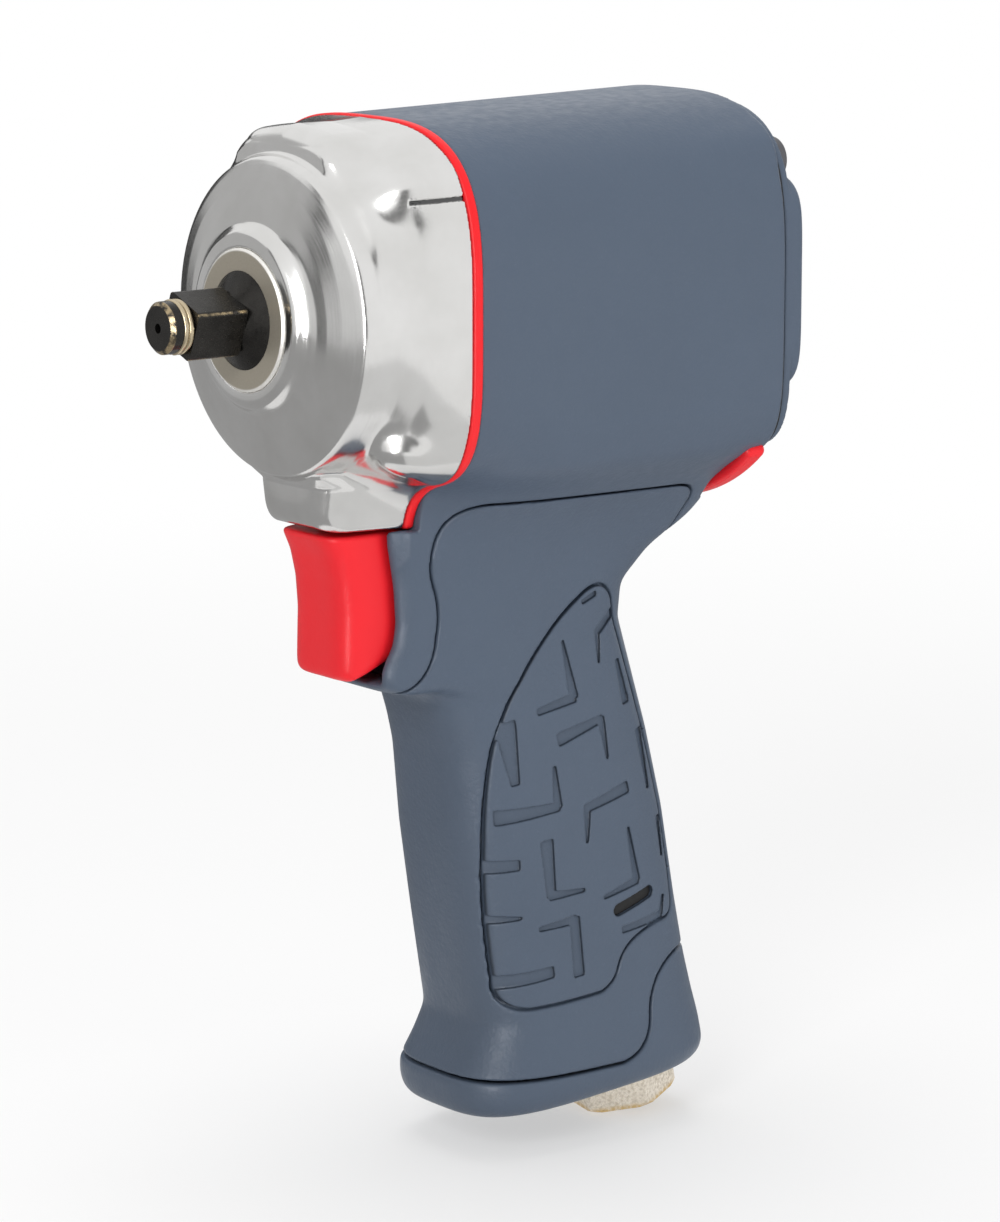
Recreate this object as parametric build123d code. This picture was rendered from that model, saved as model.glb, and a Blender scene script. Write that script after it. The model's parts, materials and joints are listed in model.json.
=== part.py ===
"""Compact pistol-grip air impact wrench with a 3/8 in square drive, as an assembly of separate pieces.

Millimetres, +Z up. The drive axis lies on X and the drive square points to -X.
The origin is on the drive axis, at the front face of the nose bushing.
"""
from build123d import *
from math import copysign, cos, hypot, pi, radians, sin, tan
import os

# Clearances
RUN = 0.05              # radial room of a shaft, rod or rotary valve in its bore
SLIP = 0.1              # room of pieces that are put together by hand
END_PLAY = 0.3          # axial room beside pieces that turn or slide
THREAD_FIT = 0.02       # radial room of threads and dowels drawn as plain cylinders
SEAM = 0.2              # open line between the moulded covers of the handle
OVER = 1.0              # how far a cutter reaches past what it cuts
SUNK = 2.0              # how far pieces that are joined into one overlap

# Drive square and anvil
SQUARE = 9.525
SQUARE_ROLL = 22.0
SQUARE_EDGE = 0.9
SQUARE_LENGTH = 10.6
RING_SEAT_LENGTH = 2.3
RING_SEAT_RADIUS = 3.7
RING_RADIUS = 5.0
RING_GAP = 1.2
NOSE_LENGTH = 2.4
NOSE_RADIUS = 4.75
NOSE_CHAMFER = 0.7
NOSE_HOLE_RADIUS = 0.9
NOSE_HOLE_DEPTH = 3.0
ROOT_LENGTH = 2.5
JOURNAL_RADIUS = 8.9
COLLAR_RADIUS = 11.2
COLLAR_THICKNESS = 1.6
SHANK_RADIUS = 8.0
JAW_RADIUS = 10.2
JAW_ANGLE = 40.0
JAW_GAP_ANGLE = 2.0

# Nose bushing
BUSH_WALL = 4.0
BUSH_LENGTH = 9.5
BUSH_CHAMFER = 0.4

# Hammer case
CASE_REAR = 27.2
BOSS_FACE = 0.4
BOSS_RADIUS = 15.5
VALLEY_X = 3.0
VALLEY_RADIUS = 17.6
FLANK_HOLLOW = 0.45
RIM_X = 6.3
RIM_RADIUS = 29.0
RIM_ROUND = 2.0
DISH_SWELL = 0.5
FLANGE_FRONT = 8.8
FLANGE_LEDGE = 0.8
FLANGE_SHOULDER = 13.0
FLANGE_INSET = 2.2
CASE_BORE = 25.0
CHIN_FRONT = 10.2
CHIN_HALF_WIDTH = 13.2
CHIN_BOTTOM = -39.0
CHIN_ROUND = 4.0
CHIN_FRONT_ROUND = 3.6
CHIN_SUNK = 8.0         # how far the chin's drawing reaches up into the barrel
BOLT_Y = 22.2
BOLT_Z_TOP = 24.3
BOLT_Z_BOTTOM = -20.3
BOLT_RADIUS = 2.5
BOLT_HEAD_RADIUS = 4.3
BOLT_HEAD_HEIGHT = 2.9
BOLT_SOCKET_RADIUS = 1.8
BOLT_SOCKET_DEPTH = 1.8
BOLT_BOSS_RADIUS = 5.6
BOLT_BOSS_FRONT = 14.4
BOLT_TIP_X = 17.5
GASKET_THICKNESS = 2.0
GASKET_PROUD = 0.25

# Barrel outline at its front and its rear
FRONT_HALF_WIDTH = 33.0
FRONT_TOP = 34.9
FRONT_BOTTOM = -31.2
REAR_HALF_WIDTH = 32.6
REAR_TOP = 36.7
REAR_BOTTOM = -32.0
ROUND_TOP = 3.2         # exponents of the outline, higher is squarer
ROUND_BOTTOM = 4.2
ROUND_SHOULDER = 2.5
ROUND_REAR_TOP = 3.5
ROUND_REAR_BOTTOM = 6.5

# Twin hammer mechanism
FRAME_RADIUS = 24.0
FRAME_PLATE = 3.4
FRAME_WEB = 2.6
FRAME_WEB_ANGLE = 76.0
PIN_RADIUS = 3.0
PIN_OFFSET = 18.4
HAMMER_RADIUS = 19.0
HAMMER_THICKNESS = 11.6
HAMMER_BORE = 11.4
DOG_RADIUS = 8.8
DOG_ANGLE = 36.0
HAMMER_SWING = 5.0

# Air motor
MOTOR_GAP = 0.8
CLIP_THICKNESS = 1.4
CLIP_WIDTH = 3.0
CLIP_DEPTH = 1.1
CLIP_GAP_ANGLE = 20.0
MOTOR_BORE = 24.6
END_PLATE = 7.0
CYLINDER_LENGTH = 32.0
CYLINDER_BORE = 19.2
CYLINDER_OFFSET = 1.7
ROTOR_RADIUS = 17.0
ROTOR_SHAFT_RADIUS = 5.0
ROTOR_SHOULDER_RADIUS = 6.8
SPLINE_COUNT = 8
SPLINE_DEPTH = 0.9
SPLINE_WIDTH = 1.6
VANE_COUNT = 6
VANE_THICKNESS = 2.0
VANE_HEIGHT = 8.0
DOWEL_RADIUS = 1.5
DOWEL_DROP = 21.2
BEARING_RADIUS = 11.0
BEARING_WIDTH = 6.0
BEARING_INNER_RACE = 1.6
BEARING_OUTER_RACE = 1.7
BEARING_BALLS = 8
BALL_RADIUS = 1.6
PORT_RADIUS = 2.2
PORT_COUNT = 5
PORT_Y = 5.5
SPACER_THICKNESS = 0.6
SPACER_BORE = 20.5

# Reverse valve and lever
BULKHEAD = 2.6
BULKHEAD_BORE = 8.0
CHAMBER_RADIUS = 21.5
VALVE_DISC = 3.3
VALVE_PORT_RADIUS = 3.0
VALVE_PORT_CIRCLE = 14.0
LEVER_THICKNESS = 3.2
LEVER_HUB_RADIUS = 19.5
LEVER_HUB_BORE = 7.0
LEVER_NECK_ANGLE = 20.0
LEVER_TAB_ANGLE = 38.0
LEVER_TAB_INNER = 34.2
LEVER_TAB_OUTER = 41.6
LEVER_TAB_LENGTH = 5.0
LEVER_TAB_ROUND = 1.5
LEVER_REST = 6.0
LEVER_SWING = 12.0
LEVER_ROOM = 0.8
LEVER_ROOM_ANGLE = 2.0
DETENT_BALL_RADIUS = 1.5
DETENT_SPRING_LENGTH = 5.0
DETENT_DEPTH = 1.2
DETENT_WIRE = 0.35
DETENT_TURNS = 6
GROOVE_ROOM_ANGLE = 6.0

# Rear cover
COVER_GASKET = 0.8
COVER_EAR = 2.0
COVER_CROWN = 2.7
COVER_INSET = 1.2
COVER_SIDE_HALF_WIDTH = 31.6
COVER_SIDE_HALF_HEIGHT = 21.5
COVER_MID_HALF_WIDTH = 16.0
COVER_ROUND = 6.0
COVER_DROP = 0.8
COVER_STEP = 1.0

# Handle: height, front, rear and half width of its level sections
LEAN = 12.0
HANDLE_STATIONS = (
    (-28.0, 30.0, 100.8, 29.0),
    (-34.0, 30.0, 100.4, 22.5),
    (-39.0, 29.8, 99.4, 18.4),
    (-43.5, 29.6, 98.6, 16.2),
    (-48.5, 29.4, 91.8, 15.0),
    (-55.0, 29.4, 83.0, 14.5),
    (-62.0, 30.4, 82.6, 14.6),
    (-72.0, 34.5, 85.3, 15.3),
    (-84.0, 38.8, 88.0, 16.2),
    (-100.0, 40.8, 91.8, 17.0),
    (-118.0, 43.6, 95.0, 17.2),
    (-130.0, 45.6, 97.5, 17.3),
    (-137.5, 47.0, 99.4, 17.7),
    (-143.0, 44.6, 100.8, 18.8),
    (-148.0, 41.6, 101.6, 19.8),
    (-151.6, 42.0, 101.4, 19.8),
    (-155.2, 45.4, 99.6, 17.4),
)
BASE_TILT = 0.07        # rise of the base's underside to the rear
TILTED_STATIONS = 2
HANDLE_ROUND = 3.2
COVER_SKIN = 2.2
GRIP_SKIN = 1.3
GRIP_INNER = 6.0
CHIN_DEPTH = 14.0

# Trigger guard: height and front of its level sections
GUARD_STATIONS = (
    (-39.6, 24.4),
    (-50.0, 23.6),
    (-59.0, 23.4),
    (-64.5, 21.8),
    (-67.6, 21.8),
    (-70.6, 26.0),
)
GUARD_REAR = 62.0
GUARD_HALF_WIDTH = 14.0
GUARD_ROUND = 5.0

# Trigger: height and front of its level sections
TRIGGER_STATIONS = (
    (-40.4, 11.8),
    (-44.0, 14.4),
    (-49.0, 15.9),
    (-55.0, 16.4),
    (-61.0, 16.3),
    (-64.6, 16.3),
    (-66.6, 17.0),
    (-67.8, 18.6),
)
TRIGGER_REAR = 36.0
TRIGGER_HALF_WIDTH = 9.2
TRIGGER_ROUND = 5.0
TRIGGER_TRAVEL = 4.5
TRIGGER_ROOM = 0.4

# Throttle: rod, bushing and tilting valve on the inlet axis
ROD_Z = -54.0
ROD_RADIUS = 2.0
ROD_GAP = 0.3
ROD_SEAT_DEPTH = 8.0
ROD_BUSH_WALL = 2.0
ROD_BUSH_LENGTH = 13.0
ROD_BUSH_GAP = 0.6
ROD_SEAL = 1.3
STEM_RADIUS = 1.7
STEM_ABOVE_ROD = 2.4
STEM_BELOW_ROD = 20.0
STEM_ROOM = 3.0
VALVE_HEAD_RADIUS = 6.4
VALVE_HEAD = 2.6
SEAT_THICKNESS = 3.0
SEAT_BORE = 4.6
THROTTLE_CHAMBER = 7.1
INLET_BORE = 7.5
SPRING_LENGTH = 13.0
SPRING_RADIUS = 4.2
SPRING_WIRE = 0.5
SPRING_TURNS = 5
SPRING_SEAT = 1.6
SPRING_SEAT_HOLES = 6
SPRING_SEAT_HOLE_RADIUS = 0.8

# Base cap, inlet and exhaust
INLET_X = 88.0
HEX_FLATS = 19.05
HEX_BELOW = 5.0
HEX_ABOVE = 1.5
HEX_CHAMFER = 0.8
HEX_TURN = 20.0
INLET_SHANK_RADIUS = 8.2
INLET_SHANK_LENGTH = 18.0
NPT_RADIUS = 5.55
NPT_DEPTH = 12.0
INLET_THROAT = 4.5
INLET_SEAL = 1.2
SCREEN_THICKNESS = 1.0
SCREEN_PITCH = 1.7
SCREEN_HOLE_RADIUS = 0.6
EXHAUST_X = 49.5
EXHAUST_LENGTH = 10.0
EXHAUST_WIDTH = 18.0
EXHAUST_ABOVE_ROD = 9.0
EXHAUST_LAP = 3.0       # overlap of the exhaust's two passages
SUPPLY_RADIUS = 3.2
MUFFLER_X0 = 52.0
MUFFLER_X1 = 75.0
MUFFLER_HALF = 12.0
MUFFLER_ROOM = 0.3
SLOT_COUNT = 5
SLOT_PITCH = 4.4
SLOT_WIDTH = 2.0
SLOT_LENGTH = 16.0
BASE_FLOOR = 2.6

# Seams of the handle in side view: (x, z) at the start, middle and end of each arc, joined by straight lines
COVER_SEAM = (
    ((86.8, -52.6), (89.0, -45.6), (90.9, -39.6)),
    ((90.9, -39.6), (89.7, -37.1), (85.6, -36.0)),
    ((42.0, -35.0), (35.4, -37.8), (32.4, -45.0)),
    ((32.4, -60.0), (29.4, -66.0), (20.0, -69.0)),
)
COVER_SEAM_MIDDLE = (55.0, -85.0)
BASE_SEAM = (
    ((74.0, -147.2), (79.4, -144.6), (81.8, -139.4)),
    ((81.8, -139.4), (84.6, -132.0), (91.0, -128.5)),
)
BASE_SEAM_MIDDLE = (95.0, -190.0)
GRIP_SEAM = (
    ((75.4, -57.2), (72.0, -54.4), (67.6, -55.4)),
    ((67.6, -55.4), (53.6, -67.4), (46.0, -82.0)),
    ((46.0, -82.0), (44.9, -102.0), (48.0, -128.0)),
    ((48.0, -128.0), (49.6, -132.4), (54.0, -134.0)),
    ((70.0, -132.9), (72.8, -131.2), (74.2, -128.8)),
    ((74.2, -128.8), (78.3, -123.7), (87.0, -121.4)),
    ((87.0, -121.4), (89.2, -120.2), (89.7, -117.6)),
    ((89.7, -117.6), (85.8, -94.5), (75.4, -57.2)),
)
GRIP_MIDDLE = (67.0, -95.0)
CORE_BOTTOM = BASE_SEAM[0][0][1]
FAR_FRONT = 0.0         # bounds of the drawn regions, well outside the handle
FAR_REAR = 125.0
FAR_BOTTOM = -190.0
FAR_SIDE = 60.0

# Derived stations along the drive axis
NOSE_TIP = -(ROOT_LENGTH + SQUARE_LENGTH + RING_SEAT_LENGTH + NOSE_LENGTH)
BUSH_BORE = JOURNAL_RADIUS + RUN
BUSH_OUTER = BUSH_BORE + BUSH_WALL
COLLAR_X = BUSH_LENGTH + END_PLAY
FRAME_X = COLLAR_X + COLLAR_THICKNESS + END_PLAY
HAMMER_1_X = FRAME_X + FRAME_PLATE + END_PLAY
HAMMER_2_X = HAMMER_1_X + HAMMER_THICKNESS + END_PLAY
FRAME_BACK_X = HAMMER_2_X + HAMMER_THICKNESS + END_PLAY
FRAME_END = FRAME_BACK_X + FRAME_PLATE
CLIP_X = FRAME_END + MOTOR_GAP
PLATE_1_X = CLIP_X + CLIP_THICKNESS
CYLINDER_X = PLATE_1_X + END_PLATE
PLATE_2_X = CYLINDER_X + CYLINDER_LENGTH
SPACER_X = PLATE_2_X + END_PLATE
BEARING_1_X = CYLINDER_X - END_PLATE + END_PLAY * 2
BEARING_2_X = SPACER_X - BEARING_WIDTH
DOWEL_X0 = PLATE_1_X + END_PLATE / 4
DOWEL_X1 = SPACER_X - END_PLATE / 4
BULKHEAD_X = SPACER_X + SPACER_THICKNESS
CHAMBER_X = BULKHEAD_X + BULKHEAD
VALVE_X = CHAMBER_X + END_PLAY
LEVER_X = VALVE_X + VALVE_DISC
HOUSING_FRONT = CASE_REAR + GASKET_THICKNESS
HOUSING_REAR = LEVER_X + LEVER_THICKNESS + END_PLAY
COVER_X = HOUSING_REAR + COVER_GASKET
EAR_FACE = COVER_X + COVER_EAR
COVER_REAR = EAR_FACE + COVER_CROWN
CASE_INNER = BUSH_LENGTH
BASE_BOTTOM = HANDLE_STATIONS[-1][0]
BOLT_HOLE = BOLT_RADIUS + SLIP
BOLT_PLACES = [(y, z) for z in (BOLT_Z_TOP, BOLT_Z_BOTTOM) for y in (-BOLT_Y, BOLT_Y)]
VALVE_PORT_PLACES = [(VALVE_PORT_CIRCLE * cos(radians(angle)), VALVE_PORT_CIRCLE * sin(radians(angle)))
                     for angle in (60, 120, 240, 300)]
HEX_CORNER = HEX_FLATS / 2 / cos(pi / 6)

# Stations along the inlet axis, measured up from the bottom of the base
ROD_T = (ROD_Z - BASE_BOTTOM) / cos(radians(LEAN))
SEAT_T = ROD_T - STEM_BELOW_ROD
HEAD_T = SEAT_T - RUN - VALVE_HEAD
SPRING_T = HEAD_T - SPRING_LENGTH
SPRING_SEAT_T = SPRING_T - SPRING_SEAT
STEM_TOP_T = ROD_T + STEM_ABOVE_ROD
CHAMBER_TOP_T = STEM_TOP_T + STEM_ROOM
ROD_AXIS_X = INLET_X - ROD_T * sin(radians(LEAN))
ROD_TIP_X = ROD_AXIS_X - STEM_RADIUS / cos(radians(LEAN)) - ROD_GAP
ROD_BUSH_END = ROD_AXIS_X - THROTTLE_CHAMBER / cos(radians(LEAN)) - ROD_BUSH_GAP
INLET_FRAME = Location((INLET_X, 0, BASE_BOTTOM), (0, -LEAN, 0))

SECTION_POINTS = 32


def superellipse(half_u, half_v_up, half_v_down, n_up, n_down):
    """Points of a rounded box outline, counted from the middle of its +u side."""
    points = []
    for k in range(SECTION_POINTS):
        angle = 2 * pi * k / SECTION_POINTS
        c, s = cos(angle), sin(angle)
        n, half_v = (n_up, half_v_up) if s >= 0 else (n_down, half_v_down)
        points.append((half_u * copysign(abs(c) ** (2 / n), c), half_v * copysign(abs(s) ** (2 / n), s)))
    return points


def closed_wire(points):
    """One smooth closed curve through the points."""
    return Wire([Edge.make_spline([Vector(*p) for p in points], periodic=True)])


def upright_section(x, half_width, top, bottom, n_top, n_bottom):
    """Outline across the drive axis at x."""
    middle = (top + bottom) / 2
    half = (top - bottom) / 2
    outline = superellipse(half_width, half, half, n_top, n_bottom)
    return closed_wire([(x, u, middle + v) for u, v in outline])


def level_section(z, front, rear, half_width, exponent, tilt=0.0):
    """Outline of the handle, guard or trigger at height z, rising to the rear by tilt."""
    middle = (front + rear) / 2
    outline = superellipse((rear - front) / 2, half_width, half_width, exponent, exponent)
    return closed_wire([(middle + u, v, z + tilt * (u + middle - front)) for u, v in outline])


def drum(radius, x0, x1, y=0.0, z=0.0):
    """Cylinder along X from x0 to x1."""
    solid = Solid.make_cylinder(radius, x1 - x0, Plane((x0, y, z), z_dir=(1, 0, 0)))
    return Part(solid.wrapped)


def tube(outer, inner, x0, x1):
    """Ring along X from x0 to x1."""
    return drum(outer, x0, x1) - drum(inner, x0 - OVER, x1 + OVER)


def block(x0, x1, y0, y1, z0, z1):
    """Box between two corners."""
    return Pos((x0 + x1) / 2, (y0 + y1) / 2, (z0 + z1) / 2) * Box(x1 - x0, y1 - y0, z1 - z0)


def sector(inner, outer, start, end, x0, x1):
    """Ring sector along X; angles in degrees from +Y towards +Z."""
    def at(radius, angle):
        return (0, radius * cos(radians(angle)), radius * sin(radians(angle)))
    middle = (start + end) / 2
    edges = [
        ThreePointArc(at(outer, start), at(outer, middle), at(outer, end)),
        Line(at(outer, end), at(inner, end)),
        ThreePointArc(at(inner, end), at(inner, middle), at(inner, start)),
        Line(at(inner, start), at(outer, start)),
    ]
    face = make_face(edges)
    return Pos(x0, 0, 0) * extrude(face, amount=x1 - x0, dir=(1, 0, 0))


def side_prism(edges, y0, y1):
    """Solid between y0 and y1 whose side view is bounded by the edges, drawn in the XZ plane."""
    return Pos(0, y0, 0) * extrude(make_face(edges), amount=y1 - y0, dir=(0, 1, 0))


def barrel_loft(x0, x1, grow=0.0):
    """Motor barrel between its front and rear outlines."""
    front = upright_section(x0, FRONT_HALF_WIDTH + grow, FRONT_TOP + grow, FRONT_BOTTOM - grow,
                            ROUND_TOP, ROUND_BOTTOM)
    rear = upright_section(x1, REAR_HALF_WIDTH + grow, REAR_TOP + grow, REAR_BOTTOM - grow,
                           ROUND_REAR_TOP, ROUND_REAR_BOTTOM)
    return Part(Solid.make_loft([front, rear]).wrapped)


def chin_block(x0, x1, grow=0.0):
    """Chin below the barrel, where the flange meets the trigger guard."""
    half = CHIN_HALF_WIDTH + grow
    chin = block(x0, x1, -half, half, CHIN_BOTTOM - grow, FRONT_BOTTOM + CHIN_SUNK)
    low = chin.edges().filter_by(Axis.X).group_by(Axis.Z)[0]
    return fillet(low, CHIN_ROUND)


def flange_plate(x0, x1, grow=0.0):
    """Plate with the outline of the barrel's front, chin included."""
    outline = upright_section(x0, FRONT_HALF_WIDTH + grow, FRONT_TOP + grow, FRONT_BOTTOM - grow,
                              ROUND_TOP, ROUND_BOTTOM)
    plate = extrude(Face(outline), amount=x1 - x0, dir=(1, 0, 0))
    return plate + chin_block(x0, x1, grow)


def handle_loft(inset, bottom):
    """Handle body drawn in by inset, cut off at the bottom height."""
    wires = []
    flat = len(HANDLE_STATIONS) - TILTED_STATIONS
    for k, (z, front, rear, half_width) in enumerate(HANDLE_STATIONS):
        tilt = BASE_TILT if k >= flat else 0.0
        wires.append(level_section(z, front + inset, rear - inset, half_width - inset, HANDLE_ROUND, tilt))
    body = Part(Solid.make_loft(wires).wrapped)
    if bottom > BASE_BOTTOM:
        body -= block(FAR_FRONT, FAR_REAR, -FAR_SIDE, FAR_SIDE, FAR_BOTTOM, bottom)
    return body


def guard_loft():
    """Trigger guard in front of the handle."""
    wires = []
    for z, front in GUARD_STATIONS:
        wires.append(level_section(z, front, GUARD_REAR, GUARD_HALF_WIDTH, GUARD_ROUND))
    return Part(Solid.make_loft(wires).wrapped)


def seam_region(arcs, corners, middle, gap, y0=-FAR_SIDE, y1=FAR_SIDE):
    """Solid whose side view is bounded by arcs and corners, drawn in towards its middle by gap."""
    def at(point):
        away_x = point[0] - middle[0]
        away_z = point[1] - middle[1]
        pull = 1 - gap / hypot(away_x, away_z)
        return (middle[0] + away_x * pull, 0, middle[1] + away_z * pull)
    edges = []
    last = None
    for start, between, end in arcs:
        if last not in (None, start):
            edges.append(Line(at(last), at(start)))
        edges.append(ThreePointArc(at(start), at(between), at(end)))
        last = end
    for corner in (*corners, arcs[0][0]):
        if corner != last:
            edges.append(Line(at(last), at(corner)))
        last = corner
    return side_prism(edges, y0, y1)


def handle_cover_region(gap):
    """Region of the handle overmould and the base, below the housing's seam."""
    corners = ((FAR_FRONT, COVER_SEAM[-1][2][1]), (FAR_FRONT, FAR_BOTTOM), (FAR_REAR, FAR_BOTTOM),
               (FAR_REAR, COVER_SEAM[0][0][1]))
    return seam_region(COVER_SEAM, corners, COVER_SEAM_MIDDLE, gap)


def base_region(gap):
    """Region of the base cap."""
    corners = ((FAR_REAR, BASE_SEAM[-1][2][1]), (FAR_REAR, FAR_BOTTOM), (FAR_FRONT, FAR_BOTTOM),
               (FAR_FRONT, CORE_BOTTOM))
    return seam_region(BASE_SEAM, corners, BASE_SEAM_MIDDLE, gap)


def grip_region(side, gap):
    """Region of the grip panel on one side of the handle."""
    y0, y1 = (-FAR_SIDE, -GRIP_INNER) if side < 0 else (GRIP_INNER, FAR_SIDE)
    return seam_region(GRIP_SEAM, (), GRIP_MIDDLE, gap, y0, y1)


def on_inlet(shape):
    """Place a shape made on +Z onto the leaning inlet axis."""
    return INLET_FRAME * shape


def rod_z(radius, t0, t1):
    """Cylinder on +Z between two heights."""
    return Pos(0, 0, (t0 + t1) / 2) * Cylinder(radius, t1 - t0)


parts = {}


def make_anvil():
    """Drive square with its nose and ring seat, the journal in the bushing, and two jaws for the hammers."""
    seat_x = NOSE_TIP + NOSE_LENGTH
    square_x = seat_x + RING_SEAT_LENGTH
    nose = drum(NOSE_RADIUS, NOSE_TIP, seat_x)
    nose = chamfer(nose.edges().group_by(Axis.X)[0], NOSE_CHAMFER)
    outline = RectangleRounded(SQUARE, SQUARE, SQUARE_EDGE)
    square = Pos(square_x, 0, 0) * Rot(SQUARE_ROLL, 0, 0) * extrude(Plane.YZ * outline, SQUARE_LENGTH)
    root = Pos(-ROOT_LENGTH, 0, 0) * Rot(0, 90, 0) * Cone(
        SQUARE / 2, JOURNAL_RADIUS, ROOT_LENGTH, align=(Align.CENTER, Align.CENTER, Align.MIN))
    body = nose + drum(RING_SEAT_RADIUS, seat_x, square_x) + square + root
    body += drum(JOURNAL_RADIUS, 0, COLLAR_X)
    body += drum(COLLAR_RADIUS, COLLAR_X, COLLAR_X + COLLAR_THICKNESS)
    body += drum(SHANK_RADIUS, COLLAR_X, FRAME_BACK_X - END_PLAY)
    jaw_start = 90 + DOG_ANGLE / 2 + JAW_GAP_ANGLE
    for x, turn in ((HAMMER_1_X, 0), (HAMMER_2_X, 180)):
        jaw = sector(SHANK_RADIUS - SUNK, JAW_RADIUS, jaw_start, jaw_start + JAW_ANGLE,
                     x, x + HAMMER_THICKNESS)
        body += Rot(turn, 0, 0) * jaw
    return body - drum(NOSE_HOLE_RADIUS, NOSE_TIP - OVER, NOSE_TIP + NOSE_HOLE_DEPTH)


def make_socket_rings():
    """Split metal ring that grips the socket, and the rubber ring under it."""
    x0 = NOSE_TIP + NOSE_LENGTH + SLIP
    x1 = x0 + RING_SEAT_LENGTH - 2 * SLIP
    middle = RING_SEAT_RADIUS + (RING_RADIUS - RING_SEAT_RADIUS) / 2
    rubber = tube(middle - SLIP / 2, RING_SEAT_RADIUS, x0, x1)
    ring = tube(RING_RADIUS, middle, x0, x1)
    ring -= block(x0 - OVER, x1 + OVER, -RING_GAP / 2, RING_GAP / 2, -2 * RING_RADIUS, 0)
    return ring, rubber


def make_bushing():
    """Bronze nose bushing with a bright chamfer at its front edge."""
    ring = tube(BUSH_OUTER, BUSH_BORE, 0, BUSH_LENGTH)
    front_edges = ring.edges().group_by(Axis.X)[0].sort_by(SortBy.RADIUS)
    return chamfer(front_edges[-1], BUSH_CHAMFER)


def make_hammer_case():
    """Polished case: turned bell, moulded flange with a chin, and four bolt bosses."""
    rim_top = RIM_RADIUS + RIM_ROUND / 4
    deep_x = FLANGE_SHOULDER
    profile = [
        Line((BOSS_FACE, 0, 0), (BOSS_FACE, 0, BOSS_RADIUS)),
        ThreePointArc((BOSS_FACE, 0, BOSS_RADIUS),
                      ((BOSS_FACE + VALLEY_X) / 2 + FLANK_HOLLOW, 0,
                       (BOSS_RADIUS + VALLEY_RADIUS) / 2 - FLANK_HOLLOW),
                      (VALLEY_X, 0, VALLEY_RADIUS)),
        ThreePointArc((VALLEY_X, 0, VALLEY_RADIUS),
                      ((VALLEY_X + RIM_X) / 2 - DISH_SWELL, 0, (VALLEY_RADIUS + RIM_RADIUS) / 2),
                      (RIM_X, 0, RIM_RADIUS)),
        ThreePointArc((RIM_X, 0, RIM_RADIUS), (RIM_X + RIM_ROUND / 2, 0, rim_top),
                      (RIM_X + RIM_ROUND, 0, RIM_RADIUS)),
        Line((RIM_X + RIM_ROUND, 0, RIM_RADIUS), (deep_x, 0, RIM_RADIUS)),
        Line((deep_x, 0, RIM_RADIUS), (deep_x, 0, 0)),
        Line((deep_x, 0, 0), (BOSS_FACE, 0, 0)),
    ]
    bell = revolve(make_face(profile), Axis.X)
    start = RIM_RADIUS + FLANGE_LEDGE
    front = upright_section(FLANGE_FRONT, start, start, -start, 2, 2)
    shoulder = upright_section(FLANGE_SHOULDER, FRONT_HALF_WIDTH - FLANGE_INSET, FRONT_TOP - FLANGE_INSET,
                               FRONT_BOTTOM + FLANGE_INSET / 2, ROUND_SHOULDER, ROUND_SHOULDER)
    rear = upright_section(CASE_REAR, FRONT_HALF_WIDTH, FRONT_TOP, FRONT_BOTTOM, ROUND_TOP, ROUND_BOTTOM)
    flange = Part(Solid.make_loft([front, shoulder, rear]).wrapped)
    chin = chin_block(CHIN_FRONT, CASE_REAR)
    chin = fillet(chin.faces().sort_by(Axis.X)[0].edges().sort_by(Axis.Z)[:-1], CHIN_FRONT_ROUND)
    case = bell + flange + chin
    for y, z in BOLT_PLACES:
        dome_x = BOLT_BOSS_FRONT + BOLT_BOSS_RADIUS
        case += drum(BOLT_BOSS_RADIUS, dome_x, CASE_REAR, y, z)
        case += Pos(dome_x, y, z) * Sphere(BOLT_BOSS_RADIUS)
    case -= drum(CASE_BORE, CASE_INNER, CASE_REAR + OVER)
    case -= drum(BUSH_OUTER, BOSS_FACE - OVER, CASE_INNER + OVER)
    for y, z in BOLT_PLACES:
        case -= drum(BOLT_RADIUS + THREAD_FIT, BOLT_TIP_X - OVER, CASE_REAR + OVER, y, z)
    return case


def make_case_gasket():
    """Red gasket between the hammer case and the motor housing."""
    gasket = flange_plate(CASE_REAR, HOUSING_FRONT, GASKET_PROUD)
    gasket -= drum(CASE_BORE, CASE_REAR - OVER, HOUSING_FRONT + OVER)
    for y, z in BOLT_PLACES:
        gasket -= drum(BOLT_HOLE, CASE_REAR - OVER, HOUSING_FRONT + OVER, y, z)
    return gasket


def make_hammer_frame():
    """Cage that carries both hammers, driven by the rotor's splines."""
    frame = tube(FRAME_RADIUS, JAW_RADIUS + END_PLAY, FRAME_X, FRAME_X + FRAME_PLATE)
    back = tube(FRAME_RADIUS, ROTOR_SHAFT_RADIUS + RUN, FRAME_BACK_X, FRAME_END)
    back += spline_teeth(SPLINE_WIDTH - 2 * SLIP, SLIP, FRAME_BACK_X, FRAME_END)
    half = FRAME_WEB_ANGLE / 2
    for middle in (90, 270):
        frame += sector(FRAME_RADIUS - FRAME_WEB, FRAME_RADIUS, middle - half, middle + half,
                        FRAME_X, FRAME_END)
    frame += back
    for y in (-PIN_OFFSET, PIN_OFFSET):
        frame -= drum(PIN_RADIUS + THREAD_FIT, FRAME_X - OVER, FRAME_END + OVER, y, 0)
    return frame


def spline_teeth(width, depth_room, x0, x1):
    """Ring of straight teeth that fill the rotor shaft's splines."""
    teeth = None
    for k in range(SPLINE_COUNT):
        low = ROTOR_SHAFT_RADIUS - SPLINE_DEPTH + depth_room
        tooth = block(x0, x1, -width / 2, width / 2, low, ROTOR_SHAFT_RADIUS + OVER / 2)
        tooth = Rot(360 * k / SPLINE_COUNT, 0, 0) * tooth
        teeth = tooth if teeth is None else teeth + tooth
    return teeth


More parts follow.
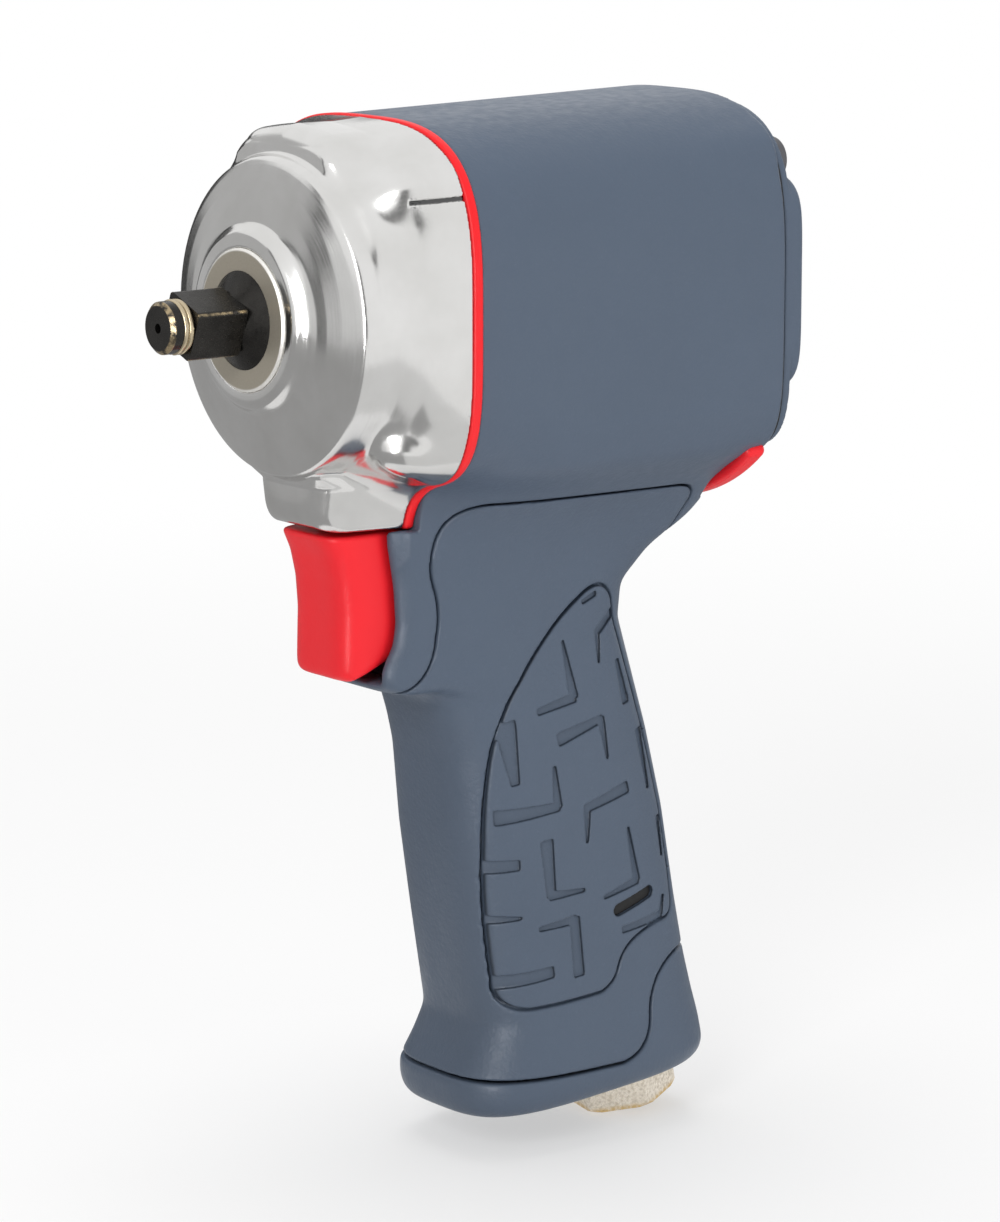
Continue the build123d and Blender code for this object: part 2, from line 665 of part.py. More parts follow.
def make_hammer(x, turn):
    """Swinging hammer: ring with an inner dog, a notch on its pivot pin and a wide notch at the other pin."""
    x1 = x + HAMMER_THICKNESS
    ring = tube(HAMMER_RADIUS, HAMMER_BORE, x, x1)
    ring += sector(DOG_RADIUS, HAMMER_BORE + SUNK, 90 - DOG_ANGLE / 2, 90 + DOG_ANGLE / 2, x, x1)
    ring -= drum(PIN_RADIUS + RUN, x - OVER, x1 + OVER, PIN_OFFSET, 0)
    reach = 2 * PIN_OFFSET * tan(radians(HAMMER_SWING))
    deep = PIN_OFFSET - PIN_RADIUS - 2 * END_PLAY
    ring -= block(x - OVER, x1 + OVER, -HAMMER_RADIUS - OVER, -deep,
                  -PIN_RADIUS - reach - END_PLAY, PIN_RADIUS + END_PLAY)
    return Rot(turn, 0, 0) * ring


def make_hammer_pins():
    """Two pins that the hammers swing on."""
    return Compound([drum(PIN_RADIUS, FRAME_X, FRAME_END, y, 0).solid() for y in (-PIN_OFFSET, PIN_OFFSET)])


def make_retaining_clip():
    """Open spring ring that holds the motor stack in its bore."""
    ring = tube(MOTOR_BORE + CLIP_DEPTH - SLIP, MOTOR_BORE - CLIP_WIDTH, CLIP_X, PLATE_1_X)
    half = CLIP_GAP_ANGLE / 2
    return ring - sector(MOTOR_BORE - CLIP_WIDTH - OVER, FAR_SIDE, 90 - half, 90 + half,
                         CLIP_X - OVER, PLATE_1_X + OVER)


def make_end_plate(x, pocket_x0, pocket_x1):
    """Motor end plate with a bearing pocket and a hole for the dowel."""
    plate = tube(MOTOR_BORE - SLIP, ROTOR_SHOULDER_RADIUS + END_PLAY, x, x + END_PLATE)
    plate -= drum(BEARING_RADIUS, pocket_x0, pocket_x1)
    return plate - drum(DOWEL_RADIUS + SLIP, DOWEL_X0, DOWEL_X1, 0, -DOWEL_DROP)


def make_bearing(x):
    """Ball bearing: outer race with its balls, and the inner race."""
    x1 = x + BEARING_WIDTH
    pitch = (BEARING_RADIUS - BEARING_OUTER_RACE + ROTOR_SHAFT_RADIUS + BEARING_INNER_RACE) / 2
    middle = (x + x1) / 2
    track = Pos(middle, 0, 0) * Rot(0, 90, 0) * Torus(pitch, BALL_RADIUS + RUN)
    outer = tube(BEARING_RADIUS, BEARING_RADIUS - BEARING_OUTER_RACE, x, x1) - track
    inner = tube(ROTOR_SHAFT_RADIUS + BEARING_INNER_RACE, ROTOR_SHAFT_RADIUS, x, x1) - track
    balls = []
    for k in range(BEARING_BALLS):
        angle = 2 * pi * k / BEARING_BALLS
        balls.append((Pos(middle, pitch * cos(angle), pitch * sin(angle)) * Sphere(BALL_RADIUS)).solid())
    return Compound([outer.solid()] + balls), inner


def make_cylinder():
    """Motor cylinder with its offset bore and a row of exhaust ports."""
    body = drum(MOTOR_BORE - SLIP, CYLINDER_X, PLATE_2_X)
    body -= drum(CYLINDER_BORE, CYLINDER_X - OVER, PLATE_2_X + OVER, 0, CYLINDER_OFFSET)
    body -= drum(DOWEL_RADIUS + SLIP, CYLINDER_X - OVER, PLATE_2_X + OVER, 0, -DOWEL_DROP)
    pitch = CYLINDER_LENGTH / (PORT_COUNT + 1)
    for k in range(PORT_COUNT):
        for y in (-PORT_Y, PORT_Y):
            port = rod_z(PORT_RADIUS, -2 * MOTOR_BORE, 0)
            body -= Pos(CYLINDER_X + pitch * (k + 1), y, 0) * port
    return body


def make_rotor():
    """Rotor with vane slots, a splined front shaft and a plain rear shaft."""
    x0 = CYLINDER_X + END_PLAY / 2
    x1 = PLATE_2_X - END_PLAY / 2
    rotor = drum(ROTOR_RADIUS, x0, x1)
    slot_low = ROTOR_RADIUS - VANE_HEIGHT - 2 * SLIP
    for k in range(VANE_COUNT):
        half = VANE_THICKNESS / 2 + SLIP
        slot = block(x0 - OVER, x1 + OVER, -half, half, slot_low, ROTOR_RADIUS + OVER)
        rotor -= Rot(360 * k / VANE_COUNT, 0, 0) * slot
    rotor += drum(ROTOR_SHAFT_RADIUS, FRAME_BACK_X, BEARING_2_X + BEARING_WIDTH)
    rotor += drum(ROTOR_SHOULDER_RADIUS, BEARING_1_X + BEARING_WIDTH, BEARING_2_X)
    return rotor - spline_teeth(SPLINE_WIDTH, 0, FRAME_BACK_X - OVER, FRAME_END + END_PLAY)


def make_vanes():
    """Six sliding vanes, drawn in flush with the rotor."""
    x0 = CYLINDER_X + END_PLAY / 2
    x1 = PLATE_2_X - END_PLAY / 2
    top = ROTOR_RADIUS - SLIP
    vanes = []
    for k in range(VANE_COUNT):
        vane = block(x0, x1, -VANE_THICKNESS / 2, VANE_THICKNESS / 2, top - VANE_HEIGHT, top)
        vanes.append((Rot(360 * k / VANE_COUNT, 0, 0) * vane).solid())
    return Compound(vanes)


def make_reverse_valve():
    """Rotary disc behind the motor that sends air to one side of the cylinder or the other."""
    disc = tube(CHAMBER_RADIUS - RUN, LEVER_HUB_BORE, VALVE_X, LEVER_X)
    for y, z in VALVE_PORT_PLACES:
        disc -= drum(VALVE_PORT_RADIUS, VALVE_X - OVER, LEVER_X + OVER, y, z)
    groove = LEVER_SWING + GROOVE_ROOM_ANGLE
    return disc - sector(CHAMBER_RADIUS - DETENT_DEPTH, CHAMBER_RADIUS + OVER, 90 - groove, 90 + groove,
                         VALVE_X - OVER, LEVER_X + OVER)


def make_reverse_lever():
    """Lever behind the valve disc, with a curved finger tab under the rear of the barrel."""
    middle = 270 - LEVER_REST
    x1 = LEVER_X + LEVER_THICKNESS
    lever = tube(LEVER_HUB_RADIUS, LEVER_HUB_BORE, LEVER_X, x1)
    lever += sector(LEVER_HUB_RADIUS - SUNK, LEVER_TAB_INNER + SUNK, middle - LEVER_NECK_ANGLE,
                    middle + LEVER_NECK_ANGLE, LEVER_X, x1)
    tab = sector(LEVER_TAB_INNER, LEVER_TAB_OUTER, middle - LEVER_TAB_ANGLE, middle + LEVER_TAB_ANGLE,
                 x1 - LEVER_TAB_LENGTH, x1)
    outer = [e for e in tab.edges() if hypot(e.center().Y, e.center().Z) > LEVER_TAB_INNER + SUNK]
    return lever + fillet(outer, LEVER_TAB_ROUND)


def make_detent():
    """Spring and ball that hold the reverse valve at the ends of its swing."""
    x = (VALVE_X + LEVER_X) / 2
    ball_z = CHAMBER_RADIUS - DETENT_DEPTH + DETENT_BALL_RADIUS + SLIP
    ball = Pos(x, 0, ball_z) * Sphere(DETENT_BALL_RADIUS)
    low = ball_z + DETENT_BALL_RADIUS
    spring = coil_spring(DETENT_BALL_RADIUS - DETENT_WIRE, DETENT_WIRE, DETENT_SPRING_LENGTH, DETENT_TURNS)
    return ball, Pos(x, 0, low) * spring


def coil_spring(radius, wire, length, turns):
    """Round-wire spring standing on the XY plane."""
    path = Pos(0, 0, wire) * Helix(pitch=(length - 2 * wire) / turns, height=length - 2 * wire, radius=radius)
    section = Plane(origin=path @ 0, z_dir=path % 0) * Circle(wire)
    return sweep(section, path=path)


def rear_outline(x0, x1, inset):
    """Plate with the outline of the barrel's rear, drawn in by inset."""
    outline = upright_section(x0, REAR_HALF_WIDTH - inset, REAR_TOP - inset, REAR_BOTTOM + inset,
                              ROUND_REAR_TOP, ROUND_REAR_BOTTOM)
    return extrude(Face(outline), amount=x1 - x0, dir=(1, 0, 0))


def make_rear_gasket():
    """Thin gasket between the housing and the rear cover."""
    gasket = rear_outline(HOUSING_REAR, COVER_X, COVER_INSET)
    gasket -= drum(CHAMBER_RADIUS, HOUSING_REAR - OVER, COVER_X + OVER)
    for y, z in BOLT_PLACES:
        gasket -= drum(BOLT_HOLE, HOUSING_REAR - OVER, COVER_X + OVER, y, z)
    return gasket


def make_rear_cover():
    """Rear cover: thin ears under the bolt heads and a raised crown shaped like a broad cross."""
    ears = rear_outline(COVER_X, EAR_FACE, COVER_INSET)
    middle = (REAR_TOP + REAR_BOTTOM) / 2 - COVER_DROP
    arms = upright_section(COVER_X, COVER_SIDE_HALF_WIDTH, middle + COVER_SIDE_HALF_HEIGHT,
                           middle - COVER_SIDE_HALF_HEIGHT, COVER_ROUND, COVER_ROUND)
    crown = extrude(Face(arms), amount=COVER_REAR - COVER_X, dir=(1, 0, 0))
    spine = rear_outline(COVER_X, COVER_REAR, COVER_INSET + COVER_STEP)
    spine &= block(COVER_X, COVER_REAR, -COVER_MID_HALF_WIDTH, COVER_MID_HALF_WIDTH, -FAR_SIDE, FAR_SIDE)
    crown += spine
    for y, z in BOLT_PLACES:
        crown -= drum(BOLT_HEAD_RADIUS + 2 * END_PLAY, EAR_FACE, COVER_REAR + OVER, y, z)
    cover = ears + crown
    for y, z in BOLT_PLACES:
        cover -= drum(BOLT_HOLE, COVER_X - OVER, EAR_FACE + OVER, y, z)
    return cover


def make_bolts():
    """Four long bolts from the rear cover into the hammer case."""
    bolts = []
    for y, z in BOLT_PLACES:
        head = drum(BOLT_HEAD_RADIUS, EAR_FACE, EAR_FACE + BOLT_HEAD_HEIGHT, y, z)
        head = fillet(head.edges().group_by(Axis.X)[-1], BOLT_HEAD_HEIGHT / 4)
        top = Plane((EAR_FACE + BOLT_HEAD_HEIGHT, y, z), z_dir=(1, 0, 0))
        socket = top * RegularPolygon(BOLT_SOCKET_RADIUS, 6)
        head -= extrude(socket, -BOLT_SOCKET_DEPTH)
        bolts.append((head + drum(BOLT_RADIUS, BOLT_TIP_X, EAR_FACE, y, z)).solid())
    return Compound(bolts)


def make_trigger():
    """Trigger with a hollowed front, and the seat of its rod."""
    wires = []
    for z, front in TRIGGER_STATIONS:
        wires.append(level_section(z, front, TRIGGER_REAR, TRIGGER_HALF_WIDTH, TRIGGER_ROUND))
    trigger = Part(Solid.make_loft(wires).wrapped)
    return trigger - drum(ROD_RADIUS, TRIGGER_REAR - ROD_SEAT_DEPTH, TRIGGER_REAR + OVER, 0, ROD_Z)


def make_trigger_rod():
    """Push rod from the trigger to the throttle valve's stem, with a domed tip."""
    rod = drum(ROD_RADIUS, TRIGGER_REAR - ROD_SEAT_DEPTH, ROD_TIP_X - ROD_RADIUS, 0, ROD_Z)
    return rod + Pos(ROD_TIP_X - ROD_RADIUS, 0, ROD_Z) * Sphere(ROD_RADIUS)


def make_rod_bushing():
    """Sleeve that guides the rod through the exhaust passage, with a pocket for the rod seal."""
    outer = ROD_RADIUS + RUN + ROD_BUSH_WALL
    x0 = ROD_BUSH_END - ROD_BUSH_LENGTH
    bush = drum(outer, x0, ROD_BUSH_END, 0, ROD_Z)
    bush -= drum(ROD_RADIUS + RUN, x0 - OVER, ROD_BUSH_END + OVER, 0, ROD_Z)
    pocket = drum(ROD_RADIUS + ROD_SEAL, ROD_BUSH_END - ROD_SEAL, ROD_BUSH_END + OVER, 0, ROD_Z)
    seal = drum(ROD_RADIUS + ROD_SEAL, ROD_BUSH_END - ROD_SEAL, ROD_BUSH_END, 0, ROD_Z)
    seal -= drum(ROD_RADIUS + RUN, x0 - OVER, ROD_BUSH_END + OVER, 0, ROD_Z)
    return bush - pocket, seal


def make_throttle_valve():
    """Tilting throttle valve: a disc under its seat with a stem up to the trigger rod."""
    head = rod_z(VALVE_HEAD_RADIUS, HEAD_T, HEAD_T + VALVE_HEAD)
    stem = rod_z(STEM_RADIUS, HEAD_T, STEM_TOP_T)
    return on_inlet(head + stem)


def make_throttle_seat():
    """Ring that the throttle valve closes against."""
    return on_inlet(rod_z(INLET_BORE, SEAT_T, SEAT_T + SEAT_THICKNESS)
                    - rod_z(SEAT_BORE, SEAT_T - OVER, SEAT_T + SEAT_THICKNESS + OVER))


def make_spring_seat():
    """Drilled disc across the inlet bore that carries the throttle spring."""
    disc = rod_z(INLET_BORE, SPRING_SEAT_T, SPRING_T)
    for k in range(SPRING_SEAT_HOLES):
        angle = 2 * pi * k / SPRING_SEAT_HOLES
        ring = SPRING_RADIUS / 2
        hole = rod_z(SPRING_SEAT_HOLE_RADIUS, SPRING_SEAT_T - OVER, SPRING_T + OVER)
        disc -= Pos(ring * cos(angle), ring * sin(angle), 0) * hole
    return on_inlet(disc)


def make_throttle_spring():
    """Spring that closes the throttle valve and brings the trigger back."""
    spring = coil_spring(SPRING_RADIUS, SPRING_WIRE, SPRING_LENGTH - SLIP, SPRING_TURNS)
    return on_inlet(Pos(0, 0, SPRING_T) * spring)


def make_inlet_bushing():
    """Hex inlet bushing with a tapered pipe thread's bore."""
    hexagon = RegularPolygon(HEX_FLATS / 2, 6, major_radius=False)
    nut = Pos(0, 0, -HEX_BELOW) * extrude(hexagon, HEX_BELOW + HEX_ABOVE)
    turned = Cone(HEX_CORNER - HEX_CHAMFER, HEX_CORNER + HEX_BELOW, HEX_BELOW + HEX_CHAMFER,
                  align=(Align.CENTER, Align.CENTER, Align.MIN))
    turned = Pos(0, 0, -HEX_BELOW) * turned
    nut &= turned + rod_z(HEX_CORNER + HEX_BELOW, 0, HEX_ABOVE)
    body = nut + rod_z(INLET_SHANK_RADIUS, HEX_ABOVE, INLET_SHANK_LENGTH)
    body -= rod_z(NPT_RADIUS, -HEX_BELOW - OVER, NPT_DEPTH - HEX_BELOW)
    body -= rod_z(INLET_THROAT, 0, INLET_SHANK_LENGTH + OVER)
    return on_inlet(Rot(0, 0, HEX_TURN) * body)


def make_inlet_seal():
    """Flat ring under the hex."""
    t1 = HEX_ABOVE + INLET_SEAL
    ring = rod_z(HEX_FLATS / 2, HEX_ABOVE, t1) - rod_z(INLET_SHANK_RADIUS + SLIP, HEX_ABOVE - OVER, t1 + OVER)
    return on_inlet(ring)


def make_inlet_screen():
    """Drilled disc that keeps grit out, on the end of the inlet bushing."""
    t0 = INLET_SHANK_LENGTH
    disc = rod_z(INLET_SHANK_RADIUS, t0, t0 + SCREEN_THICKNESS)
    for ring, count in ((0, 1), (SCREEN_PITCH, 6), (2 * SCREEN_PITCH, 12)):
        for k in range(count):
            angle = 2 * pi * k / count
            hole = rod_z(SCREEN_HOLE_RADIUS, t0 - OVER, t0 + SCREEN_THICKNESS + OVER)
            disc -= Pos(ring * cos(angle), ring * sin(angle), 0) * hole
    return on_inlet(disc)


def lever_slots():
    """Room in the housing for the reverse lever's neck and tab over its swing."""
    low = 270 - LEVER_REST
    high = low + LEVER_SWING
    neck = sector(CHAMBER_RADIUS - SUNK, LEVER_TAB_INNER + SUNK, low - LEVER_NECK_ANGLE - LEVER_ROOM_ANGLE,
                  high + LEVER_NECK_ANGLE + LEVER_ROOM_ANGLE, LEVER_X - END_PLAY, FAR_REAR)
    tab = sector(LEVER_TAB_INNER - END_PLAY, LEVER_TAB_OUTER + LEVER_ROOM,
                 low - LEVER_TAB_ANGLE - LEVER_ROOM_ANGLE, high + LEVER_TAB_ANGLE + LEVER_ROOM_ANGLE,
                 LEVER_X + LEVER_THICKNESS - LEVER_TAB_LENGTH - END_PLAY, FAR_REAR)
    return neck + tab


def air_passages():
    """Everything bored or cored out of the housing for air, the throttle and the exhaust."""
    shank_end = INLET_SHANK_LENGTH + SCREEN_THICKNESS
    bores = rod_z(INLET_SHANK_RADIUS + THREAD_FIT, -FAR_SIDE, shank_end)
    bores += rod_z(INLET_BORE, 0, SEAT_T + SEAT_THICKNESS)
    bores += rod_z(THROTTLE_CHAMBER, SEAT_T, CHAMBER_TOP_T)
    cut = on_inlet(bores)
    cut += drum(ROD_RADIUS + RUN + ROD_BUSH_WALL, TRIGGER_REAR, ROD_BUSH_END, 0, ROD_Z)
    cut += drum(ROD_RADIUS + ROD_SEAL, ROD_BUSH_END - OVER, ROD_AXIS_X, 0, ROD_Z)
    drop = (ROD_Z - CORE_BOTTOM) / cos(radians(LEAN)) + EXHAUST_WIDTH
    duct = Box(EXHAUST_LENGTH, EXHAUST_WIDTH, drop + EXHAUST_ABOVE_ROD)
    duct = Pos(0, 0, (EXHAUST_ABOVE_ROD - drop) / 2) * duct
    cut += Location((EXHAUST_X, 0, ROD_Z), (0, -LEAN, 0)) * duct
    half = EXHAUST_WIDTH / 2
    cut += block(EXHAUST_X - SUNK, CYLINDER_X + EXHAUST_LENGTH, -half, half,
                 ROD_Z + EXHAUST_ABOVE_ROD - EXHAUST_LAP, -MOTOR_BORE + EXHAUST_LAP)
    start = Vector(ROD_AXIS_X, 0, ROD_Z + STEM_ABOVE_ROD + STEM_ROOM)
    end = Vector(VALVE_X, 0, -CHAMBER_RADIUS + SUPPLY_RADIUS)
    supply = Solid.make_cylinder(SUPPLY_RADIUS, (end - start).length, Plane(start, z_dir=end - start))
    return cut + Part(supply.wrapped)


def make_outer():
    """Outside of the housing, handle and base in one piece, before the seams are cut."""
    outer = barrel_loft(HOUSING_FRONT, HOUSING_REAR) + handle_loft(0, BASE_BOTTOM) + guard_loft()
    outer += chin_block(HOUSING_FRONT, HOUSING_FRONT + CHIN_DEPTH)
    behind_rear = block(HOUSING_REAR, FAR_REAR, -FAR_SIDE, FAR_SIDE, COVER_SEAM[0][0][1], FAR_SIDE)
    return outer - behind_rear


def trigger_recess():
    """Room for the trigger over its travel."""
    half = TRIGGER_HALF_WIDTH + TRIGGER_ROOM
    top = TRIGGER_STATIONS[0][0] + TRIGGER_ROOM
    low = TRIGGER_STATIONS[-1][0] - TRIGGER_ROOM
    return block(FAR_FRONT, TRIGGER_REAR + TRIGGER_TRAVEL + TRIGGER_ROOM, -half, half, low, top)


def make_housing(outer, core):
    """Motor housing: barrel, trigger guard and the core inside the handle."""
    cuts = [
        drum(CASE_BORE, HOUSING_FRONT - OVER, CLIP_X),
        drum(MOTOR_BORE, CLIP_X - OVER, BULKHEAD_X),
        drum(MOTOR_BORE + CLIP_DEPTH, CLIP_X, PLATE_1_X),
        drum(BULKHEAD_BORE, BULKHEAD_X - OVER, CHAMBER_X + OVER),
        drum(CHAMBER_RADIUS, CHAMBER_X, HOUSING_REAR + OVER),
        lever_slots(),
        trigger_recess(),
        air_passages(),
    ]
    for y, z in VALVE_PORT_PLACES:
        cuts.append(drum(VALVE_PORT_RADIUS, BULKHEAD_X - OVER, CHAMBER_X + OVER, y, z))
    for y, z in BOLT_PLACES:
        cuts.append(drum(BOLT_HOLE, HOUSING_FRONT - OVER, HOUSING_REAR + OVER, y, z))
    detent_top = CHAMBER_RADIUS - DETENT_DEPTH + 2 * DETENT_BALL_RADIUS + DETENT_SPRING_LENGTH + SLIP
    pocket = rod_z(DETENT_BALL_RADIUS + SLIP, CHAMBER_RADIUS - DETENT_SPRING_LENGTH, detent_top)
    cuts.append(Pos((VALVE_X + LEVER_X) / 2, 0, 0) * pocket)
    shell = outer - handle_cover_region(0) + core
    return shell - cuts


def make_handle_skins(outer, core):
    """Handle overmould, both grip panels set into it, and the base cap below."""
    handle = outer & handle_cover_region(SEAM)
    skin = handle - [core, lever_slots(), trigger_recess()]
    grip_floor = handle_loft(GRIP_SKIN, CORE_BOTTOM)
    grip_skin = handle - grip_floor
    cover = skin - base_region(0)
    grips = []
    for side in (-1, 1):
        grips.append(grip_skin & grip_region(side, SEAM))
        cover -= grip_region(side, 0) - grip_floor
    cuts = [
        block(MUFFLER_X0, MUFFLER_X1, -MUFFLER_HALF, MUFFLER_HALF,
              BASE_BOTTOM + BASE_FLOOR, CORE_BOTTOM + SEAM),
        on_inlet(rod_z(INLET_SHANK_RADIUS + SLIP, 0, INLET_SHANK_LENGTH)),
        on_inlet(rod_z(HEX_CORNER + END_PLAY, -FAR_SIDE, HEX_ABOVE + INLET_SEAL)),
    ]
    for k in range(SLOT_COUNT):
        x = (MUFFLER_X0 + MUFFLER_X1) / 2 + SLOT_PITCH * (k - (SLOT_COUNT - 1) / 2)
        cuts.append(block(x - SLOT_WIDTH / 2, x + SLOT_WIDTH / 2, -SLOT_LENGTH / 2, SLOT_LENGTH / 2,
                          FAR_BOTTOM, BASE_BOTTOM + BASE_FLOOR + OVER))
    base = (skin & base_region(SEAM)) - cuts
    return cover, grips[0], grips[1], base


def make_muffler():
    """Felt block in the base that quietens the exhaust."""
    return block(MUFFLER_X0 + MUFFLER_ROOM, MUFFLER_X1 - MUFFLER_ROOM, -MUFFLER_HALF + MUFFLER_ROOM,
                 MUFFLER_HALF - MUFFLER_ROOM, BASE_BOTTOM + BASE_FLOOR, CORE_BOTTOM)


def make_dowel():
    """Pin that keeps the end plates and the cylinder in line."""
    return drum(DOWEL_RADIUS, DOWEL_X0 + SLIP, DOWEL_X1 - SLIP, 0, -DOWEL_DROP)


parts["anvil"] = make_anvil()
parts["socket_retaining_ring"], parts["retainer_rubber_ring"] = make_socket_rings()
parts["nose_bushing"] = make_bushing()
parts["hammer_case"] = make_hammer_case()
parts["case_gasket"] = make_case_gasket()
parts["hammer_frame"] = make_hammer_frame()
parts["front_hammer"] = make_hammer(HAMMER_1_X, 0)
parts["rear_hammer"] = make_hammer(HAMMER_2_X, 180)
parts["hammer_pins"] = make_hammer_pins()
parts["motor_retaining_ring"] = make_retaining_clip()
parts["front_end_plate"] = make_end_plate(PLATE_1_X, PLATE_1_X - OVER, BEARING_1_X + BEARING_WIDTH)
parts["rear_end_plate"] = make_end_plate(PLATE_2_X, BEARING_2_X, SPACER_X + OVER)
parts["front_bearing"], parts["front_bearing_inner_race"] = make_bearing(BEARING_1_X)
parts["rear_bearing"], parts["rear_bearing_inner_race"] = make_bearing(BEARING_2_X)
parts["motor_cylinder"] = make_cylinder()
parts["cylinder_dowel"] = make_dowel()
parts["rotor"] = make_rotor()
parts["rotor_vanes"] = make_vanes()
parts["motor_spacer"] = tube(MOTOR_BORE - SLIP, SPACER_BORE, SPACER_X, BULKHEAD_X)
parts["reverse_valve"] = make_reverse_valve()
parts["reverse_lever"] = make_reverse_lever()
parts["detent_ball"], parts["detent_spring"] = make_detent()
parts["rear_gasket"] = make_rear_gasket()
parts["rear_cover"] = make_rear_cover()
parts["housing_bolts"] = make_bolts()
parts["trigger"] = make_trigger()
parts["trigger_rod"] = make_trigger_rod()
parts["rod_bushing"], parts["rod_seal"] = make_rod_bushing()
parts["throttle_valve"] = make_throttle_valve()
parts["throttle_seat"] = make_throttle_seat()
parts["throttle_spring"] = make_throttle_spring()
parts["spring_seat"] = make_spring_seat()
parts["inlet_bushing"] = make_inlet_bushing()
parts["inlet_seal"] = make_inlet_seal()
parts["inlet_screen"] = make_inlet_screen()
whole_outside = make_outer()
handle_core = handle_loft(COVER_SKIN, CORE_BOTTOM)
parts["motor_housing"] = make_housing(whole_outside, handle_core)
(parts["handle_overmould"], parts["grip_left"], parts["grip_right"],
 parts["base_cap"]) = make_handle_skins(whole_outside, handle_core)
parts["exhaust_muffler"] = make_muffler()

os.makedirs("parts", exist_ok=True)
for name, shape in parts.items():
    export_step(shape, f"parts/{name}.step")
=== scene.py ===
import json
import math

import bpy
import numpy as np
from mathutils import Matrix, Vector


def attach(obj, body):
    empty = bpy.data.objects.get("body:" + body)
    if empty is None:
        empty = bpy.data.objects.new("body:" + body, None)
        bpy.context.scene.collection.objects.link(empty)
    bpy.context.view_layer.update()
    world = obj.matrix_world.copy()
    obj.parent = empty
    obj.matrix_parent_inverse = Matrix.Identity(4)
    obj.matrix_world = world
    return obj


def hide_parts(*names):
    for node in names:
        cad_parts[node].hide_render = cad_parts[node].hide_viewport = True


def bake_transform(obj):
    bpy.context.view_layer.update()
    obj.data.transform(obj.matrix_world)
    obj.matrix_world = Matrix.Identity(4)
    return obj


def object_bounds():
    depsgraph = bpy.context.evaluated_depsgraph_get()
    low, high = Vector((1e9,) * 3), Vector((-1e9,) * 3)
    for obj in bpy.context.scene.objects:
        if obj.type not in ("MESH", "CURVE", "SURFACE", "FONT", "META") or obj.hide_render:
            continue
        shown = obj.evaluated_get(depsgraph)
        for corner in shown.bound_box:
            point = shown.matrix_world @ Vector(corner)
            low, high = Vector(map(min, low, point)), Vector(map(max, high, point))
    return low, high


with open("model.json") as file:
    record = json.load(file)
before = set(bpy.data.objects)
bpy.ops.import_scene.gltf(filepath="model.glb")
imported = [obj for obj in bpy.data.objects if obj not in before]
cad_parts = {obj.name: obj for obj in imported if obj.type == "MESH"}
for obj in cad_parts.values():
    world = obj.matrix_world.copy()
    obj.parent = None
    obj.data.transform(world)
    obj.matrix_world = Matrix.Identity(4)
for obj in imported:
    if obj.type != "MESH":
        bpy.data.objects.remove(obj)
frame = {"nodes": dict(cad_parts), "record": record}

# Looks of a compact pistol-grip air impact wrench. Sizes are in millimetres, in the frame of the solids:
# X runs along the drive axis to the rear, Z is up, and Y is the tool's right.
MM = 0.001
cad_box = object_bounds()
COARSE = 1.0
OVERLAP = 1.0           # how far cuts run into each other

# Barrel between the case gasket and the rear cover
BARREL_FRONT = 29.2
BARREL_REAR = 101.1
FRONT_SIZE = dict(half_width=33.0, top=34.9, bottom=-31.2, round_top=3.2, round_bottom=4.2)
REAR_SIZE = dict(half_width=32.6, top=36.7, bottom=-32.0, round_top=3.2, round_bottom=5.5)
BARREL_EDGE = 0.7
EAR_X = (66.0, 101.1)
EAR_RADIUS = (3.5, 7.6)
EAR_BLEND = 1.6
MOTOR_BORE = 24.8
CHAMBER_FRONT = 94.0
CHAMBER_BORE = 21.5

# Hammer case
CASE_REAR = 27.2
CASE_REAR_EDGE = 0.4
GASKET_PROUD = 0.26
GASKET_EDGE = 0.5
RIM_RADIUS = 29.2
RIM_EDGE = 0.5
BELL_RADII = (0.0, 14.6, 15.3, 15.9, 16.6, 17.4, 18.6, 21.0, 24.5, 27.4, 28.6, 29.6)
BELL_DEPTHS = (0.4, 0.4, 0.5, 0.9, 1.9, 2.7, 3.15, 3.7, 4.7, 5.75, 6.4, 8.4)
BELL_EASE = 0.5
BELL_STEP = 0.2
BELL_REACH = 40.0
BELL_BLEND = 1.2
FLANGE_X = (8.8, 10.6, 13.0, 18.0, 27.2)
FLANGE_HALF_WIDTH = (28.9, 29.5, 30.2, 31.5, 33.0)
FLANGE_TOP = (29.4, 31.6, 32.7, 33.8, 34.9)
FLANGE_BOTTOM = (-28.4, -28.6, -29.1, -30.2, -31.2)
FLANGE_ROUND_TOP = (2.0, 2.0, 2.0, 2.2, 3.2)
FLANGE_ROUND_BOTTOM = (2.0, 2.0, 2.0, 2.4, 4.2)
FLANGE_EDGE = 1.6
FLANGE_EASE = 1.2
CASE_BORE = 25.0
CASE_FLOOR = 9.5
NOSE_BORE = 12.95
CHIN_FRONT = 10.0
CHIN_BOTTOM = -39.0
CHIN_HEIGHTS = (-39.0, -31.0)
CHIN_HALF_WIDTHS = (12.1, 13.5)
CHIN_SWEEP = 8.0
CHIN_FRONT_SWEEP = 1.5
CHIN_NARROWED = 2.5
CHIN_WIDENS = (14.0, 26.0)
CHIN_CORNER = 5.2
CHIN_LOW_EDGE = ((11.0, 16.0), (2.9, 0.9))
CHIN_TOP = -14.0
CHIN_DEPTH = 14.0
CHIN_SUNK = 4.0
HUMP_HALF_WIDTH = 13.7
HUMP_TOP = (34.1, 34.7)
HUMP_FALL = 0.12
HUMP_CORNER = 4.2
HUMP_FRONT = 8.8
HUMP_FRONT_EDGE = 4.6
HUMP_SWEEP = ((10.0, 20.0), (5.2, 0.6))
HUMP_FOOT = 20.0
FRONT_LEVELS = (-30.5, -28.5, 28.5, 31.0)
BOSS_PLACES = [(y, z) for z in (24.3, -20.3) for y in (-22.2, 22.2)]
DOME_DROP = 1.8
